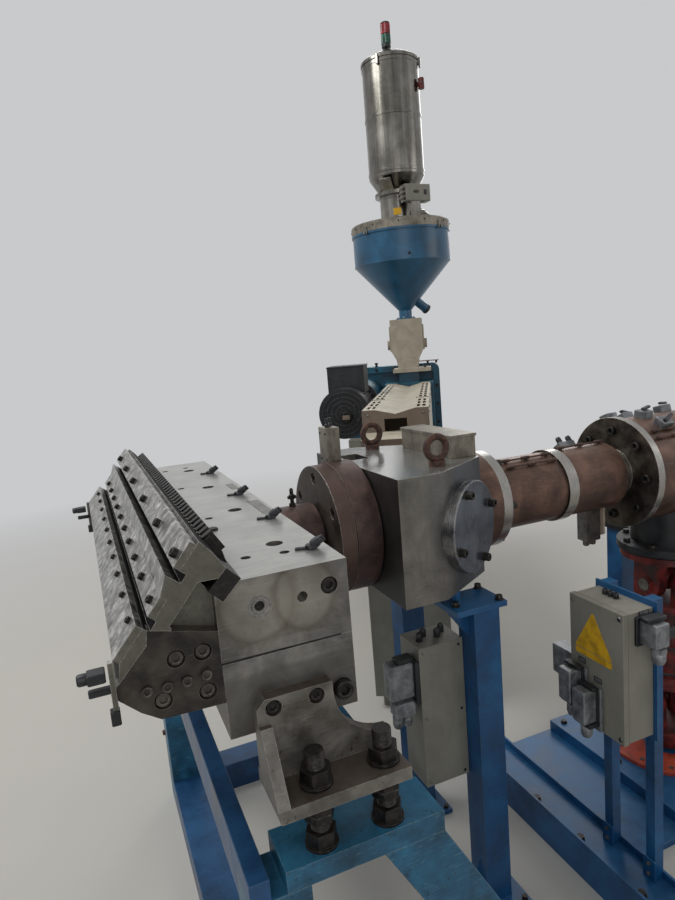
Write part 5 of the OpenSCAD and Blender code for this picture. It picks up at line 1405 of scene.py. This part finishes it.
class EXTRUDER_OT_stage(ExtruderStep):
    """The pale floor, the soft lamps, the sky that fills the room and the camera"""

    bl_idname = "extruder.stage"
    bl_label = "Studio and camera"

    def floor_material(self, tone):
        """Sealed concrete, even and matt. Far out it takes on the background's own colour where it
        is seen, so that no horizon shows."""
        material = bpy.data.materials.new("sealed_floor")
        material.use_nodes = True
        tree = material.node_tree
        shader = tree.nodes["Principled BSDF"]
        place = add(tree, "TexCoord", out="Object")
        noise = add(tree, "TexNoise", {"Vector": place, "Scale": 3.0, "Detail": 3.0})
        darker = (*(0.94 * c for c in tone[:3]), 1.0)
        mixed = add(tree, "Mix", {0: noise, 6: tone, 7: darker}, 2, **COLOURS)
        tree.links.new(mixed, shader.inputs["Base Color"])
        shader.inputs["Roughness"].default_value = 0.85
        shader.inputs["Specular IOR Level"].default_value = 0.2
        away = add(tree, "VectorMath", (place, FLOOR_MIDDLE), "Value", operation="DISTANCE")
        far = add(tree, "MapRange", (away, *FLOOR_FADE, 0.0, 1.0))
        share = add(tree, "Math", (far, seen_plainly(tree)), operation="MULTIPLY")
        glow = add(tree, "Emission", {"Color": SKY, "Strength": BACKGROUND})
        faded = add(tree, "MixShader", (share, shader.outputs["BSDF"], glow))
        tree.links.new(faded, tree.nodes["Material Output"].inputs["Surface"])
        return material

    def execute(self, context):
        scene = context.scene
        mesh = bpy.data.meshes.new("floor")
        reach = 60.0
        mesh.from_pydata([(-reach, -reach, 0), (reach, -reach, 0), (reach, reach, 0),
                          (-reach, reach, 0)], [], [(0, 1, 2, 3)])
        ground = bpy.data.objects.new("floor", mesh)
        scene.collection.objects.link(ground)
        mesh.materials.append(self.floor_material(tuple(scene.extruder_finish.floor)))
        world = bpy.data.worlds.new("studio")
        scene.world = world
        world.use_nodes = True
        tree = world.node_tree
        strength = add(tree, "MapRange", {
            "Value": seen_plainly(tree), "To Min": DAYLIGHT, "To Max": BACKGROUND})
        sky = tree.nodes["Background"]
        sky.inputs["Color"].default_value = SKY
        tree.links.new(strength, sky.inputs["Strength"])
        for name, spot, size, watts in LAMPS:
            light = bpy.data.lights.new(name, "AREA")
            light.energy = watts
            light.size = size
            lamp = bpy.data.objects.new(name, light)
            lamp.location = spot
            ahead = Vector(LAMP_AIM) - Vector(spot)
            lamp.rotation_euler = ahead.to_track_quat("-Z", "Y").to_euler()
            scene.collection.objects.link(lamp)
        yaw, pitch, roll = (math.radians(angle) for angle in CAMERA_TURN)
        right = Vector((math.cos(yaw), -math.sin(yaw), 0))
        ahead = Vector((math.sin(yaw) * math.cos(pitch), math.cos(yaw) * math.cos(pitch),
                        -math.sin(pitch)))
        up = right.cross(ahead)
        side = math.cos(roll) * right + math.sin(roll) * up
        top = -math.sin(roll) * right + math.cos(roll) * up
        data = bpy.data.cameras.new("photo_camera")
        data.sensor_width = SENSOR
        data.lens = FOCAL_PIXELS / PICTURE_PIXELS * SENSOR
        data.clip_start, data.clip_end = 0.05, 300
        camera = bpy.data.objects.new("photo_camera", data)
        turn = Matrix((side, top, -ahead)).transposed().to_4x4()
        camera.matrix_world = Matrix.Translation(CAMERA_PLACE) @ turn
        scene.collection.objects.link(camera)
        scene.camera = camera
        scene.view_settings.view_transform = "Standard"
        return {"FINISHED"}


STEPS = (
    EXTRUDER_OT_finishes, EXTRUDER_OT_lip, EXTRUDER_OT_die_ends, EXTRUDER_OT_die_top,
    EXTRUDER_OT_stand, EXTRUDER_OT_feedblock, EXTRUDER_OT_pipe, EXTRUDER_OT_pump,
    EXTRUDER_OT_shaft, EXTRUDER_OT_frames, EXTRUDER_OT_junction_box, EXTRUDER_OT_cabinet,
    EXTRUDER_OT_side_extruder, EXTRUDER_OT_hopper, EXTRUDER_OT_loader, EXTRUDER_OT_lamp,
    EXTRUDER_OT_stage,
)


class EXTRUDER_PT_panel(bpy.types.Panel):
    """Lists the steps with their sizes and colours"""

    bl_idname = "EXTRUDER_PT_panel"
    bl_label = "Sheet extruder"
    bl_space_type = "VIEW_3D"
    bl_region_type = "UI"
    bl_category = "Extruder"

    def draw(self, context):
        for step in STEPS:
            self.layout.operator(step.bl_idname)
        for group in (context.scene.extruder_sizes, context.scene.extruder_finish):
            column = self.layout.column()
            for name in group.bl_rna.properties.keys():
                if name not in ("rna_type", "name"):
                    column.prop(group, name)


CLASSES = (ExtruderFinish, ExtruderSizes, *STEPS, EXTRUDER_PT_panel)


def register():
    for cls in CLASSES:
        bpy.utils.register_class(cls)
    bpy.types.Scene.extruder_finish = bpy.props.PointerProperty(type=ExtruderFinish)
    bpy.types.Scene.extruder_sizes = bpy.props.PointerProperty(type=ExtruderSizes)


def unregister():
    del bpy.types.Scene.extruder_sizes
    del bpy.types.Scene.extruder_finish
    for cls in reversed(CLASSES):
        bpy.utils.unregister_class(cls)


def main():
    """Runs every step in order."""
    register()
    for step in STEPS:
        group, name = step.bl_idname.split(".")
        getattr(getattr(bpy.ops, group), name)()
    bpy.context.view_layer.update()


if __name__ == "__main__":
    main()
